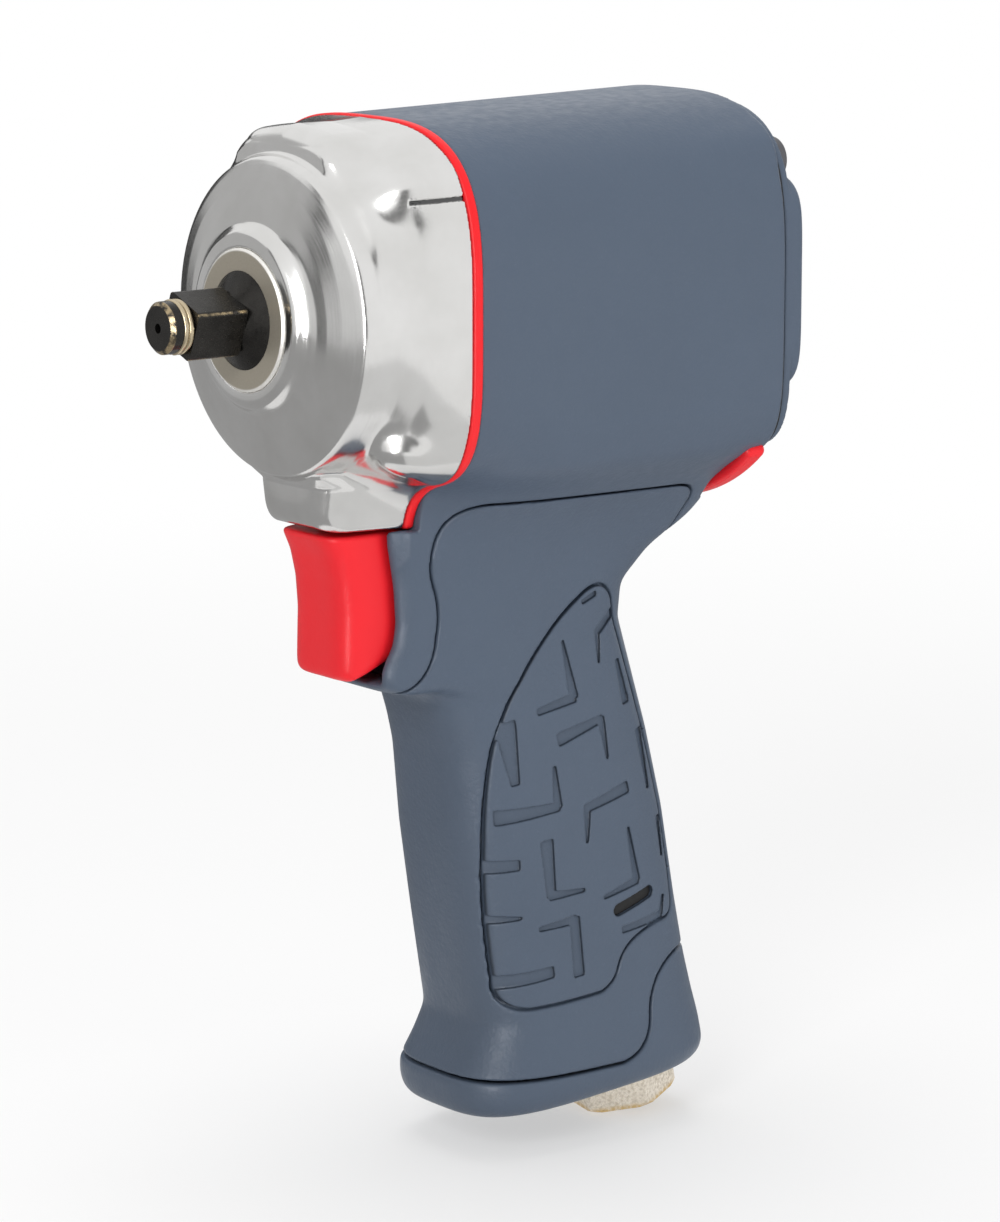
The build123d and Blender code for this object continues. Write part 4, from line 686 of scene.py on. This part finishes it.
def shell(name, field, low, high, cell, node, body="housing"):
    """Mesh where the field is 0, its points drawn onto the field; it replaces the CAD node that is named."""
    cell = cell * COARSE
    axes = [np.arange(lo - 2 * cell, hi + 3 * cell, cell) for lo, hi in zip(low, high)]
    x, y, z = np.meshgrid(*axes, indexing="ij", sparse=True)
    d = np.array(np.broadcast_to(field(x, y, z), [len(a) for a in axes]), np.float32)
    inside = d < 0
    corners = [(i, j, k) for i in (0, 1) for j in (0, 1) for k in (0, 1)]
    count = np.zeros([n - 1 for n in d.shape], np.int8)
    for c in corners:
        count += inside[tuple(slice(o, n - 1 + o) for o, n in zip(c, d.shape))]
    mixed = (count > 0) & (count < 8)
    cells = np.argwhere(mixed)
    number = np.full(mixed.shape, -1)
    number[mixed] = np.arange(len(cells))
    value = {c: d[tuple((cells + c).T)] for c in corners}
    total = np.zeros((len(cells), 3))
    hits = np.zeros(len(cells))
    for a in corners:
        for axis in range(3):
            if a[axis]:
                continue
            b = tuple(1 if k == axis else v for k, v in enumerate(a))
            cross = (value[a] < 0) != (value[b] < 0)
            share = np.where(cross, value[a] / np.where(cross, value[a] - value[b], 1), 0)
            total += cross[:, None] * np.array(a)
            total[:, axis] += share
            hits += cross
    points = np.array([a[0] for a in axes]) + (cells + total / hits[:, None]) * cell
    for _ in range(2):
        miss, gradient = slopes(field, points)
        step = miss / np.maximum((gradient ** 2).sum(axis=1), 0.25)
        points -= np.clip(step, -cell, cell)[:, None] * gradient
    faces = []
    for axis in range(3):
        u, v = (axis + 1) % 3, (axis + 2) % 3
        below = np.take(inside, range(d.shape[axis] - 1), axis)
        above = np.take(inside, range(1, d.shape[axis]), axis)
        edge = np.argwhere(below != above)
        off_start = (edge[:, u] > 0) & (edge[:, v] > 0)
        off_end = (edge[:, u] < d.shape[u] - 1) & (edge[:, v] < d.shape[v] - 1)
        edge = edge[off_start & off_end]
        step_u, step_v = np.eye(3, dtype=int)[[u, v]]
        ring = [number[tuple((edge - s).T)] for s in (step_u + step_v, step_v, 0 * step_u, step_u)]
        quad = np.stack(ring, axis=1)
        outward = below[tuple(edge.T)]
        faces.append(np.where(outward[:, None], quad, quad[:, ::-1]))
    piece = smooth_piece(name, (points * MM).tolist(), np.concatenate(faces).tolist())
    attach(piece, body)
    if node:
        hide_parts(node)
    return piece


def lathe(name, profile, turn_from, turn_to, body, node, steps=96):
    """Closed ring turned about the drive axis between two angles, from (x, radius) points."""
    angles = np.radians(np.linspace(turn_from, turn_to, steps + 1))
    verts = [(px * MM, r * math.cos(a) * MM, r * math.sin(a) * MM) for a in angles for px, r in profile]
    n = len(profile)
    faces = []
    for s in range(steps):
        for k in range(n):
            m = (k + 1) % n
            faces.append((s * n + k, s * n + m, (s + 1) * n + m, (s + 1) * n + k))
    faces.append(tuple(range(n))[::-1])
    faces.append(tuple(steps * n + k for k in range(n)))
    piece = smooth_piece(name, verts, faces)
    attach(piece, body)
    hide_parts(node)
    return piece


def inlet_point(height):
    """Point on the inlet axis, that far up from the bottom of the base."""
    return np.array((INLET_X - height * math.sin(LEAN), 0.0, BASE_BOTTOM + height * math.cos(LEAN)))


def coil(name, ends, radius, wire, turns, node):
    """Round-wire spring on the inlet axis, in place of a CAD node."""
    axis = np.array((-math.sin(LEAN), 0.0, math.cos(LEAN)))
    across = np.array((0.0, 1.0, 0.0))
    upright = np.cross(axis, across)
    steps = TURN_STEPS * turns
    heights = np.linspace(ends[0] + wire, ends[1] - wire, steps + 1)
    rounds = 2 * math.pi * np.arange(WIRE_SIDES) / WIRE_SIDES
    verts = []
    for k, height in enumerate(heights):
        turn = 2 * math.pi * k / TURN_STEPS
        outward = math.cos(turn) * across + math.sin(turn) * upright
        middle = inlet_point(height) + outward * radius
        verts += [tuple((middle + wire * (math.cos(a) * outward + math.sin(a) * axis)) * MM) for a in rounds]
    faces = []
    for s in range(steps):
        for k in range(WIRE_SIDES):
            m = (k + 1) % WIRE_SIDES
            faces.append(tuple(WIRE_SIDES * (s + up) + side for up, side in ((0, k), (1, k), (1, m), (0, m))))
    faces.append(tuple(range(WIRE_SIDES)))
    faces.append(tuple(range(WIRE_SIDES * steps, WIRE_SIDES * (steps + 1)))[::-1])
    piece = smooth_piece(name, verts, faces)
    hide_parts(node)
    return piece


# Materials
class Finish:
    """A node material built round one Principled shader, with patterns in object space."""

    def __init__(self, name, metallic=0.0, roughness=0.5, **sockets):
        self.material = bpy.data.materials.new(name)
        self.material.use_nodes = True
        self.nodes = self.material.node_tree.nodes
        self.links = self.material.node_tree.links
        self.shader = self.nodes["Principled BSDF"]
        self.shader.inputs["Metallic"].default_value = metallic
        self.shader.inputs["Roughness"].default_value = roughness
        for key, v in sockets.items():
            self.shader.inputs[key.replace("_", " ")].default_value = v
        self.place = self.nodes.new("ShaderNodeTexCoord").outputs["Object"]

    def add(self, kind, inputs=(), **settings):
        """New node; inputs are values or outputs of other nodes, by number or name."""
        node = self.nodes.new(kind)
        for key, v in settings.items():
            setattr(node, key, v)
        for key, v in dict(inputs).items():
            if isinstance(v, bpy.types.NodeSocket):
                self.links.new(v, node.inputs[key])
            else:
                node.inputs[key].default_value = v
        return node

    def noise(self, size, detail=3.0, where=None):
        """Noise whose features are about size millimetres across."""
        inputs = {"Vector": where or self.place, "Scale": 1 / (size * MM), "Detail": detail}
        return self.add("ShaderNodeTexNoise", inputs).outputs["Fac"]

    def math(self, operation, a, b=0.0, clamp=False):
        """One sum on numbers or outputs."""
        return self.add("ShaderNodeMath", {0: a, 1: b}, operation=operation, use_clamp=clamp).outputs[0]

    def ramp(self, v, low, high, to_low=0.0, to_high=1.0, curve="LINEAR"):
        """v from low to high, mapped onto another range and held at its ends."""
        ends = {"Value": v, "From Min": low, "From Max": high, "To Min": to_low, "To Max": to_high}
        return self.add("ShaderNodeMapRange", ends, interpolation_type=curve).outputs["Result"]

    def mix(self, factor, first, second):
        """Colour between two colours, by factor."""
        node = self.add("ShaderNodeMix", data_type="RGBA")
        for socket, v in ((0, factor), (6, first), (7, second)):
            if isinstance(v, bpy.types.NodeSocket):
                self.links.new(v, node.inputs[socket])
            else:
                node.inputs[socket].default_value = v if socket == 0 else (*v, 1.0)
        return node.outputs[2]

    def colour(self, socket):
        self.links.new(socket, self.shader.inputs["Base Color"])

    def rough(self, socket):
        self.links.new(socket, self.shader.inputs["Roughness"])

    def bump(self, height, depth):
        """Relief of that depth in millimetres from a height between 0 and 1."""
        node = self.add("ShaderNodeBump", {"Height": height, "Distance": depth * MM, "Strength": 1.0})
        normal = self.shader.inputs["Normal"]
        if normal.is_linked:
            self.links.new(normal.links[0].from_socket, node.inputs["Normal"])
        self.links.new(node.outputs[0], normal)

    def axes(self):
        """x, y, z of the place, in metres."""
        return self.add("ShaderNodeSeparateXYZ", {0: self.place}).outputs

    def radius(self):
        """Distance from the drive axis, in metres."""
        _, y, z = self.axes()
        return self.math("SQRT", self.math("ADD", self.math("MULTIPLY", y, y), self.math("MULTIPLY", z, z)))


def varied(finish, colour, spread=0.06, size=14.0):
    """Colour that drifts a little over the piece."""
    low = tuple(c * (1 - spread) for c in colour)
    high = tuple(min(1.0, c * (1 + spread)) for c in colour)
    return finish.mix(finish.noise(size, 2.0), low, high)


def moulded(name, colour, grain, depth, roughness):
    """Moulded plastic or rubber with a fine leather-like grain, and painted shade on the walls of a tread
    whose points carry their depth.
    """
    f = Finish(name, roughness=roughness, Specular_IOR_Level=0.3)
    cloud = f.noise(22.0, 2.0)
    speck = f.noise(grain * 0.7, 2.0)
    base_colour = f.mix(cloud, tuple(c * 0.96 for c in colour), tuple(c * 1.04 for c in colour))
    speckled = f.mix(f.ramp(speck, 0.62, 0.78, 0.0, 0.35), base_colour, tuple(c * 1.22 for c in colour))
    sunk = f.add("ShaderNodeAttribute", attribute_name=SUNK).outputs["Fac"]
    # Painted shade: the tread's walls are darkened toward a fifth of the colour, the tread's floor hardly at
    # all
    tread_shade = f.math("MULTIPLY", f.ramp(sunk, 0.08, 0.30, 0.0, 0.75), f.ramp(sunk, 0.55, 0.72, 1.0, 0.12))
    f.colour(f.mix(tread_shade, speckled, tuple(c * 0.2 for c in colour)))
    f.rough(f.ramp(f.noise(grain * 3, 2.0), 0.3, 0.7, roughness - 0.05, roughness + 0.07))
    f.bump(f.noise(grain, 3.0), depth)
    return f.material


def polished_aluminium():
    """Buffed cast aluminium: soft waves, turning lines round the axis, darker smears, and painted shade in
    the scribed line.
    """
    f = Finish("polished_aluminium", metallic=1.0, roughness=0.16)
    x, _, z = f.axes()
    radius = f.radius()
    turned = f.add("ShaderNodeCombineXYZ", {0: x, 1: radius, 2: 0.0}).outputs[0]
    lines = f.noise(0.22, 3.0, where=turned)
    waves = f.noise(9.0, 2.0)
    smear = f.noise(11.0, 3.0)
    buffed = f.mix(f.ramp(smear, 0.35, 0.7), (0.68, 0.675, 0.66), (0.75, 0.745, 0.735))
    # Painted shade: the scribed groove is coloured near black for the shadow in it
    slope = (SCRIBE_Z[1] - SCRIBE_Z[0]) / (SCRIBE_X[1] - SCRIBE_X[0])
    middle = f.math("ADD", f.math("MULTIPLY", x, slope), (SCRIBE_Z[0] - SCRIBE_X[0] * slope) * MM)
    off = f.math("ABSOLUTE", f.math("SUBTRACT", z, middle))
    line = f.math("MULTIPLY", f.ramp(off, 0.7 * SCRIBE_HALF * MM, 1.1 * SCRIBE_HALF * MM, 1.0, 0.0),
                  f.ramp(x, (SCRIBE_X[0] - 0.2) * MM, (SCRIBE_X[0] + 0.2) * MM))
    f.colour(f.mix(line, buffed, (0.10, 0.10, 0.10)))
    f.rough(f.ramp(f.math("ADD", lines, f.math("MULTIPLY", smear, 0.6)), 0.5, 1.1, 0.12, 0.24))
    f.bump(waves, 0.03)
    f.bump(lines, 0.003)
    return f.material


def gloss_red(name, colour, roughness):
    """Glossy moulded red plastic."""
    f = Finish(name, roughness=roughness, Specular_IOR_Level=0.3)
    f.colour(varied(f, colour, 0.04, 12.0))
    f.rough(f.ramp(f.noise(1.4, 3.0), 0.3, 0.7, roughness - 0.04, roughness + 0.05))
    f.bump(f.noise(0.7, 2.0), 0.02)
    return f.material


def black_oxide():
    """Black-oxide steel, rubbed to bare brassy metal along the square's edges and the nose's chamfer."""
    f = Finish("black_oxide", metallic=0.85, roughness=0.26)
    x, y, z = f.axes()
    c, s = math.cos(SQUARE_ROLL), math.sin(SQUARE_ROLL)
    u = f.math("ABSOLUTE", f.math("ADD", f.math("MULTIPLY", y, c), f.math("MULTIPLY", z, s)))
    v = f.math("ABSOLUTE", f.math("SUBTRACT", f.math("MULTIPLY", z, c), f.math("MULTIPLY", y, s)))
    corner = f.math("MINIMUM", u, v)
    near = f.ramp(corner, (SQUARE / 2 - 0.55) * MM, (SQUARE / 2 - 0.30) * MM)
    on_square = f.ramp(x, SQUARE_ROOT * MM, (SQUARE_ROOT - 0.8) * MM)
    on_chamfer = f.ramp(x, (NOSE_TIP + 0.9) * MM, (NOSE_TIP + 0.7) * MM)
    tip = f.ramp(f.radius(), 3.95 * MM, 4.10 * MM)
    wear = f.math("ADD", f.math("MULTIPLY", near, on_square), f.math("MULTIPLY", tip, on_chamfer))
    patchy = f.math("MULTIPLY", wear, f.ramp(f.noise(1.1, 4.0), 0.36, 0.6), clamp=True)
    dark = f.mix(f.noise(3.0, 3.0), (0.018, 0.017, 0.016), (0.050, 0.047, 0.043))
    f.colour(f.mix(patchy, dark, (0.42, 0.33, 0.20)))
    f.rough(f.ramp(f.noise(0.8, 3.0), 0.3, 0.7, 0.20, 0.36))
    f.bump(f.noise(0.5, 3.0), 0.007)
    return f.material


def turned_metal(name, colour, roughness, line=0.2, depth=0.004, spread=0.1):
    """Machined metal with turning lines round the drive axis."""
    f = Finish(name, metallic=1.0, roughness=roughness)
    x, _, _ = f.axes()
    turned = f.add("ShaderNodeCombineXYZ", {0: x, 1: f.radius(), 2: 0.0}).outputs[0]
    lines = f.noise(line, 3.0, where=turned)
    low = tuple(c * (1 - spread) for c in colour)
    high = tuple(min(1, c * (1 + spread)) for c in colour)
    f.colour(f.mix(lines, low, high))
    f.rough(f.ramp(lines, 0.3, 0.7, roughness - 0.06, roughness + 0.08))
    f.bump(lines, depth)
    return f.material


def bushing_metal():
    """Tan-grey sintered bronze, with a painted highlight on the chamfer at its outer edge."""
    f = Finish("bushing_bronze", metallic=0.6, roughness=0.42)
    radius = f.radius()
    # Painted highlight: a near-white ring where the outer chamfer catches the light
    chamfer_highlight = f.math("MULTIPLY", f.ramp(radius, 12.3 * MM, 12.6 * MM), f.ramp(f.axes()[0], 0.8 * MM, 0.5 * MM))
    grain = f.noise(0.35, 4.0)
    body = f.mix(grain, (0.33, 0.295, 0.235), (0.48, 0.44, 0.365))
    f.colour(f.mix(chamfer_highlight, body, (0.86, 0.84, 0.80)))
    f.rough(f.ramp(grain, 0.3, 0.7, 0.36, 0.52))
    f.bump(grain, 0.01)
    return f.material


def nickel_hex():
    """Speckled nickel plate that thins to brass along the hex's lower edge."""
    f = Finish("nickel_plate", metallic=1.0, roughness=0.3)
    x, _, z = f.axes()
    along = f.math("SUBTRACT", f.math("MULTIPLY", f.math("SUBTRACT", z, BASE_BOTTOM * MM), math.cos(LEAN)),
                   f.math("MULTIPLY", f.math("SUBTRACT", x, INLET_X * MM), math.sin(LEAN)))
    worn = f.math("MULTIPLY", f.ramp(along, -3.9 * MM, -4.7 * MM), f.ramp(f.noise(1.2, 3.0), 0.3, 0.55))
    speck = f.noise(0.6, 4.0)
    plate = f.mix(f.ramp(speck, 0.4, 0.66), (0.86, 0.79, 0.68), (0.60, 0.53, 0.43))
    f.colour(f.mix(worn, plate, (0.62, 0.44, 0.20)))
    f.rough(f.ramp(speck, 0.3, 0.7, 0.24, 0.42))
    f.bump(speck, 0.012)
    return f.material


def matt(name, colour, roughness, grain, depth):
    """Plain matt stuff such as rubber, laminate or felt, with its grain."""
    f = Finish(name, roughness=roughness, Specular_IOR_Level=0.3)
    low = tuple(c * 0.8 for c in colour)
    high = tuple(min(1, c * 1.2) for c in colour)
    f.colour(f.mix(f.noise(grain * 2, 3.0), low, high))
    f.rough(f.ramp(f.noise(grain * 4, 2.0), 0.3, 0.7, roughness - 0.06, roughness + 0.06))
    f.bump(f.noise(grain, 3.0), depth)
    return f.material


SLATE = (0.080, 0.106, 0.149)
RED = (0.84, 0.013, 0.022)

FINISHES = {
    "polished_aluminium": polished_aluminium(),
    "slate_composite": moulded("slate_composite", SLATE, 0.75, 0.08, 0.42),
    "slate_rubber": moulded("slate_rubber", SLATE, 0.9, 0.13, 0.42),
    "red_plastic": gloss_red("red_plastic", RED, 0.36),
    "red_gasket": gloss_red("red_gasket", (0.84, 0.012, 0.018), 0.42),
    "black_oxide_steel": black_oxide(),
    "bearing_bronze": bushing_metal(),
    "gold_spring_steel": turned_metal("gold_spring_steel", (0.56, 0.47, 0.32), 0.30),
    "bright_steel": turned_metal("bright_steel", (0.62, 0.62, 0.63), 0.26),
    "dark_steel": turned_metal("dark_steel", (0.14, 0.14, 0.15), 0.38),
    "nickel_steel": nickel_hex(),
    "cylinder_iron": turned_metal("cylinder_iron", (0.33, 0.33, 0.34), 0.40, 0.4, 0.008),
    "plate_aluminium": turned_metal("plate_aluminium", (0.72, 0.72, 0.73), 0.32),
    "vane_laminate": matt("vane_laminate", (0.20, 0.11, 0.05), 0.6, 0.5, 0.02),
    "black_rubber": matt("black_rubber", (0.018, 0.018, 0.018), 0.6, 0.4, 0.015),
    "felt": matt("felt", (0.30, 0.29, 0.27), 0.95, 0.6, 0.08),
}
SLOT_OF = {s["node"]: s["material_slot"] for s in frame["record"]["subparts"]}


def dress(piece, slot):
    """Give a piece the finish of a material slot."""
    piece.data.materials.clear()
    piece.data.materials.append(FINISHES[slot])


def mark_shade_depth(piece):
    """Store the depth of each point below the outside, from which shade is painted on the walls of the tread.
    """
    points = np.empty(3 * len(piece.data.vertices))
    piece.data.vertices.foreach_get("co", points)
    depth = -outside(*(points.reshape(-1, 3) / MM).T)
    piece.data.attributes.new(SUNK, "FLOAT", "POINT").data.foreach_set("value", depth.astype(np.float32))


for node, piece in frame["nodes"].items():
    dress(piece, SLOT_OF[node])

# Shells in place of the plain solids
SHELLS = (
    ("hammer_case", hammer_case, (0.0, -34.0, -40.0), (27.6, 34.0, 36.0), 0.34, "housing"),
    ("case_gasket", case_gasket, (26.8, -34.0, -40.0), (29.6, 34.0, 36.0), 0.36, "housing"),
    ("motor_housing", housing, (21.0, -34.0, -74.0), (101.6, 34.0, 38.0), 0.55, "housing"),
    ("handle_overmould", overmould, (19.0, -26.0, -150.0), (103.0, 26.0, -34.0), 0.5, "housing"),
    ("grip_left", grip(-1), (43.0, -19.0, -136.0), (92.0, -5.0, -53.0), 0.30, "housing"),
    ("grip_right", grip(1), (43.0, 5.0, -136.0), (92.0, 19.0, -53.0), 0.30, "housing"),
    ("base_cap", base, (40.0, -21.0, -158.0), (103.0, 21.0, -127.0), 0.45, "housing"),
    ("rear_cover", rear_cover, (101.0, -33.0, -33.0), (107.0, 33.0, 37.0), 0.5, "housing"),
    ("trigger", trigger, (10.0, -10.0, -68.0), (36.5, 10.0, -40.0), 0.4, "trigger"),
)
for node, field, low, high, cell, body in SHELLS:
    piece = shell(node + "_form", field, low, high, cell, node, body)
    dress(piece, SLOT_OF[node])
    # The grips' points carry their depth, for the painted shade in the tread
    if node.startswith("grip"):
        mark_shade_depth(piece)

# Black sheets at the bottom of the grip slots, painted shade in place of the slots' shadowed inside
for name, side, low, high in (("grip_slot_shade_left", -1, -19.0, -9.0), ("grip_slot_shade_right", 1, 9.0, 19.0)):
    shade_piece = shell(name, slot_shade(side), (72.0, low, -120.0), (84.5, high, -113.0), 0.22, None)
    dress(shade_piece, "black_rubber")

# The socket ring is split and has two rounded crowns side by side
ring_profile = []
for centre in (RING_FRONT + RING_LENGTH / 4, RING_FRONT + 3 * RING_LENGTH / 4):
    for angle in np.radians(np.linspace(180, 0, 9)):
        across = centre + RING_LENGTH / 4 * math.cos(angle)
        ring_profile.append((across, RING_OUTER - RING_CROWN + RING_CROWN * math.sin(angle)))
ring_profile += [(RING_FRONT + RING_LENGTH, RING_INNER), (RING_FRONT, RING_INNER)]
ring = lathe("socket_ring_form", ring_profile, *RING_TURN, "anvil", "socket_retaining_ring")
dress(ring, SLOT_OF["socket_retaining_ring"])

# The throttle spring stands on its seat in the housing
spring = coil("throttle_spring_form", SPRING_ENDS, SPRING_RADIUS, SPRING_WIRE, SPRING_TURNS,
              "throttle_spring")
dress(spring, SLOT_OF["throttle_spring"])
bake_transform(spring)

# Floor, camera and studio light
scene = bpy.context.scene
TARGET = Vector((45.0, 0.0, -50.0)) * MM
FLOOR_REACH = 6.0
FLOOR_FADE = (0.22, 0.75)
FLOOR_GLOW = 0.5
SKY_LEVEL = 0.50


def background_rays(tree):
    """1 for rays that show the background to the camera, in gloss or through glass, else 0."""
    path = tree.nodes.new("ShaderNodeLightPath")
    total = path.outputs["Is Camera Ray"]
    for kind in ("Is Glossy Ray", "Is Transmission Ray"):
        join = tree.nodes.new("ShaderNodeMath")
        join.operation = "MAXIMUM"
        tree.links.new(total, join.inputs[0])
        tree.links.new(path.outputs[kind], join.inputs[1])
        total = join.outputs[0]
    return total


def staged(name, verts, faces, material):
    """Mesh that belongs to the studio."""
    mesh = bpy.data.meshes.new(name)
    mesh.from_pydata(verts, [], faces)
    piece = bpy.data.objects.new(name, mesh)
    piece.data.materials.append(material)
    scene.collection.objects.link(piece)
    return piece


def floor_paper():
    """White paper that takes the shadow near the tool and runs out into the white background."""
    f = Finish("floor_paper", roughness=0.9, Specular_IOR_Level=0.1)
    f.colour(f.mix(f.noise(300.0, 2.0), (0.90, 0.90, 0.90), (0.94, 0.94, 0.94)))
    x, y, _ = f.axes()
    x = f.math("SUBTRACT", x, TARGET.x)
    away = f.math("SQRT", f.math("ADD", f.math("MULTIPLY", x, x), f.math("MULTIPLY", y, y)))
    glow = f.math("MULTIPLY", f.ramp(away, *FLOOR_FADE, FLOOR_GLOW, 1.0, "SMOOTHSTEP"),
                  background_rays(f.material.node_tree))
    white = f.add("ShaderNodeEmission")
    blend = f.add("ShaderNodeMixShader", {0: glow, 1: f.shader.outputs[0], 2: white.outputs[0]})
    f.links.new(blend.outputs[0], f.nodes["Material Output"].inputs["Surface"])
    return f.material


FLOOR_Z = cad_box[0].z - 0.0005
corners = [(sx * FLOOR_REACH, sy * FLOOR_REACH, FLOOR_Z) for sx, sy in ((-1, -1), (1, -1), (1, 1), (-1, 1))]
staged("floor", corners, [(0, 1, 2, 3)], floor_paper())


def facing(place, direction):
    """Placement at a point that looks along a direction with Z up."""
    return Matrix.Translation(place) @ direction.to_track_quat("-Z", "Y").to_matrix().to_4x4()


CAMERA_PLACE = Vector((-456.43, -657.15, 105.25)) * MM
LOOK = Vector((0.60528, 0.77195, -0.19423))
LENS = 132.57
camera_data = bpy.data.cameras.new("camera")
camera_data.sensor_fit = "VERTICAL"
camera_data.sensor_height = 36.0
camera_data.lens = LENS
camera_data.clip_start = 0.01
camera = bpy.data.objects.new("camera", camera_data)
camera.matrix_world = facing(CAMERA_PLACE, LOOK)
scene.collection.objects.link(camera)
scene.camera = camera


def softbox(name, place, size, power, mirrored):
    """Rectangular lamp that faces the tool; only mirrored ones show in reflections."""
    data = bpy.data.lights.new(name, "AREA")
    data.shape = "RECTANGLE"
    data.size, data.size_y = size
    data.energy = power
    lamp = bpy.data.objects.new(name, data)
    lamp.visible_glossy = mirrored
    lamp.matrix_world = facing(Vector(place), TARGET - Vector(place))
    scene.collection.objects.link(lamp)


softbox("key", (-0.85, -0.60, 0.55), (0.4, 0.4), 4.4, True)
softbox("side", (0.40, -1.00, -0.10), (0.6, 0.10), 3.4, False)
softbox("top", (0.10, 0.15, 1.15), (0.8, 0.8), 8.0, False)

# Cards that only reflections show: range of turn from +X towards +Y, range of lift, and brightness
CARD_DISTANCE = 0.9
CARD_STEPS = 48
CARDS = {
    "card_back": ((55, 97), (-14, 20), 0.05),
    "card_left": ((97, 150), (-14, 30), 0.53),
    "card_strip": ((150, 158), (-14, 40), 0.10),
    "card_front": ((158, 192), (-14, 14), 0.75),
    "card_glint": ((214, 226), (-14, 10), 22.0),
    "card_near": ((236, 252), (-14, 40), 0.16),
    "card_right": ((340, 356), (-14, 40), 0.16),
}
# Cards that lie on the floor: range of turn, inner and outer radius, and brightness
LOW_CARDS = {
    "card_low": ((335, 600), (0.10, 0.88), 0.38),
    "card_skirt": ((240, 335), (0.10, 0.32), 0.76),
}


def reflector(name, rings, brightness):
    """Card between two rings of points, hidden from the camera, from diffuse light and from shadows."""
    faces = [(k, k + 1, CARD_STEPS + 2 + k, CARD_STEPS + 1 + k) for k in range(CARD_STEPS)]
    material = bpy.data.materials.new(name)
    material.use_nodes = True
    tree = material.node_tree
    glow = tree.nodes.new("ShaderNodeEmission")
    glow.inputs["Color"].default_value = (brightness, brightness, brightness, 1.0)
    tree.links.new(glow.outputs[0], tree.nodes["Material Output"].inputs["Surface"])
    piece = staged(name, [v for ring in rings for v in ring], faces, material)
    piece.visible_camera = False
    piece.visible_diffuse = False
    piece.visible_shadow = False


def card_ring(turn, radius, height):
    """Points round the tool at one radius and height."""
    angles = np.radians(np.linspace(*turn, CARD_STEPS + 1))
    return [(TARGET.x + radius * math.cos(a), TARGET.y + radius * math.sin(a), height) for a in angles]


for name, (turn, lift, brightness) in CARDS.items():
    rings = []
    for angle in np.radians(lift):
        height = TARGET.z + CARD_DISTANCE * math.sin(angle)
        rings.append(card_ring(turn, CARD_DISTANCE * math.cos(angle), height))
    reflector(name, rings, brightness)
for name, (turn, radii, brightness) in LOW_CARDS.items():
    reflector(name, [card_ring(turn, radius, FLOOR_Z + MM) for radius in radii], brightness)

world = bpy.data.worlds.new("studio")
scene.world = world
world.use_nodes = True
tree = world.node_tree
level = tree.nodes.new("ShaderNodeMapRange")
level.inputs["To Min"].default_value = SKY_LEVEL
level.inputs["To Max"].default_value = 1.0
tree.links.new(background_rays(tree), level.inputs["Value"])
background = tree.nodes["Background"]
background.inputs["Color"].default_value = (1.0, 1.0, 1.0, 1.0)
tree.links.new(level.outputs["Result"], background.inputs["Strength"])

scene.view_settings.view_transform = "Standard"
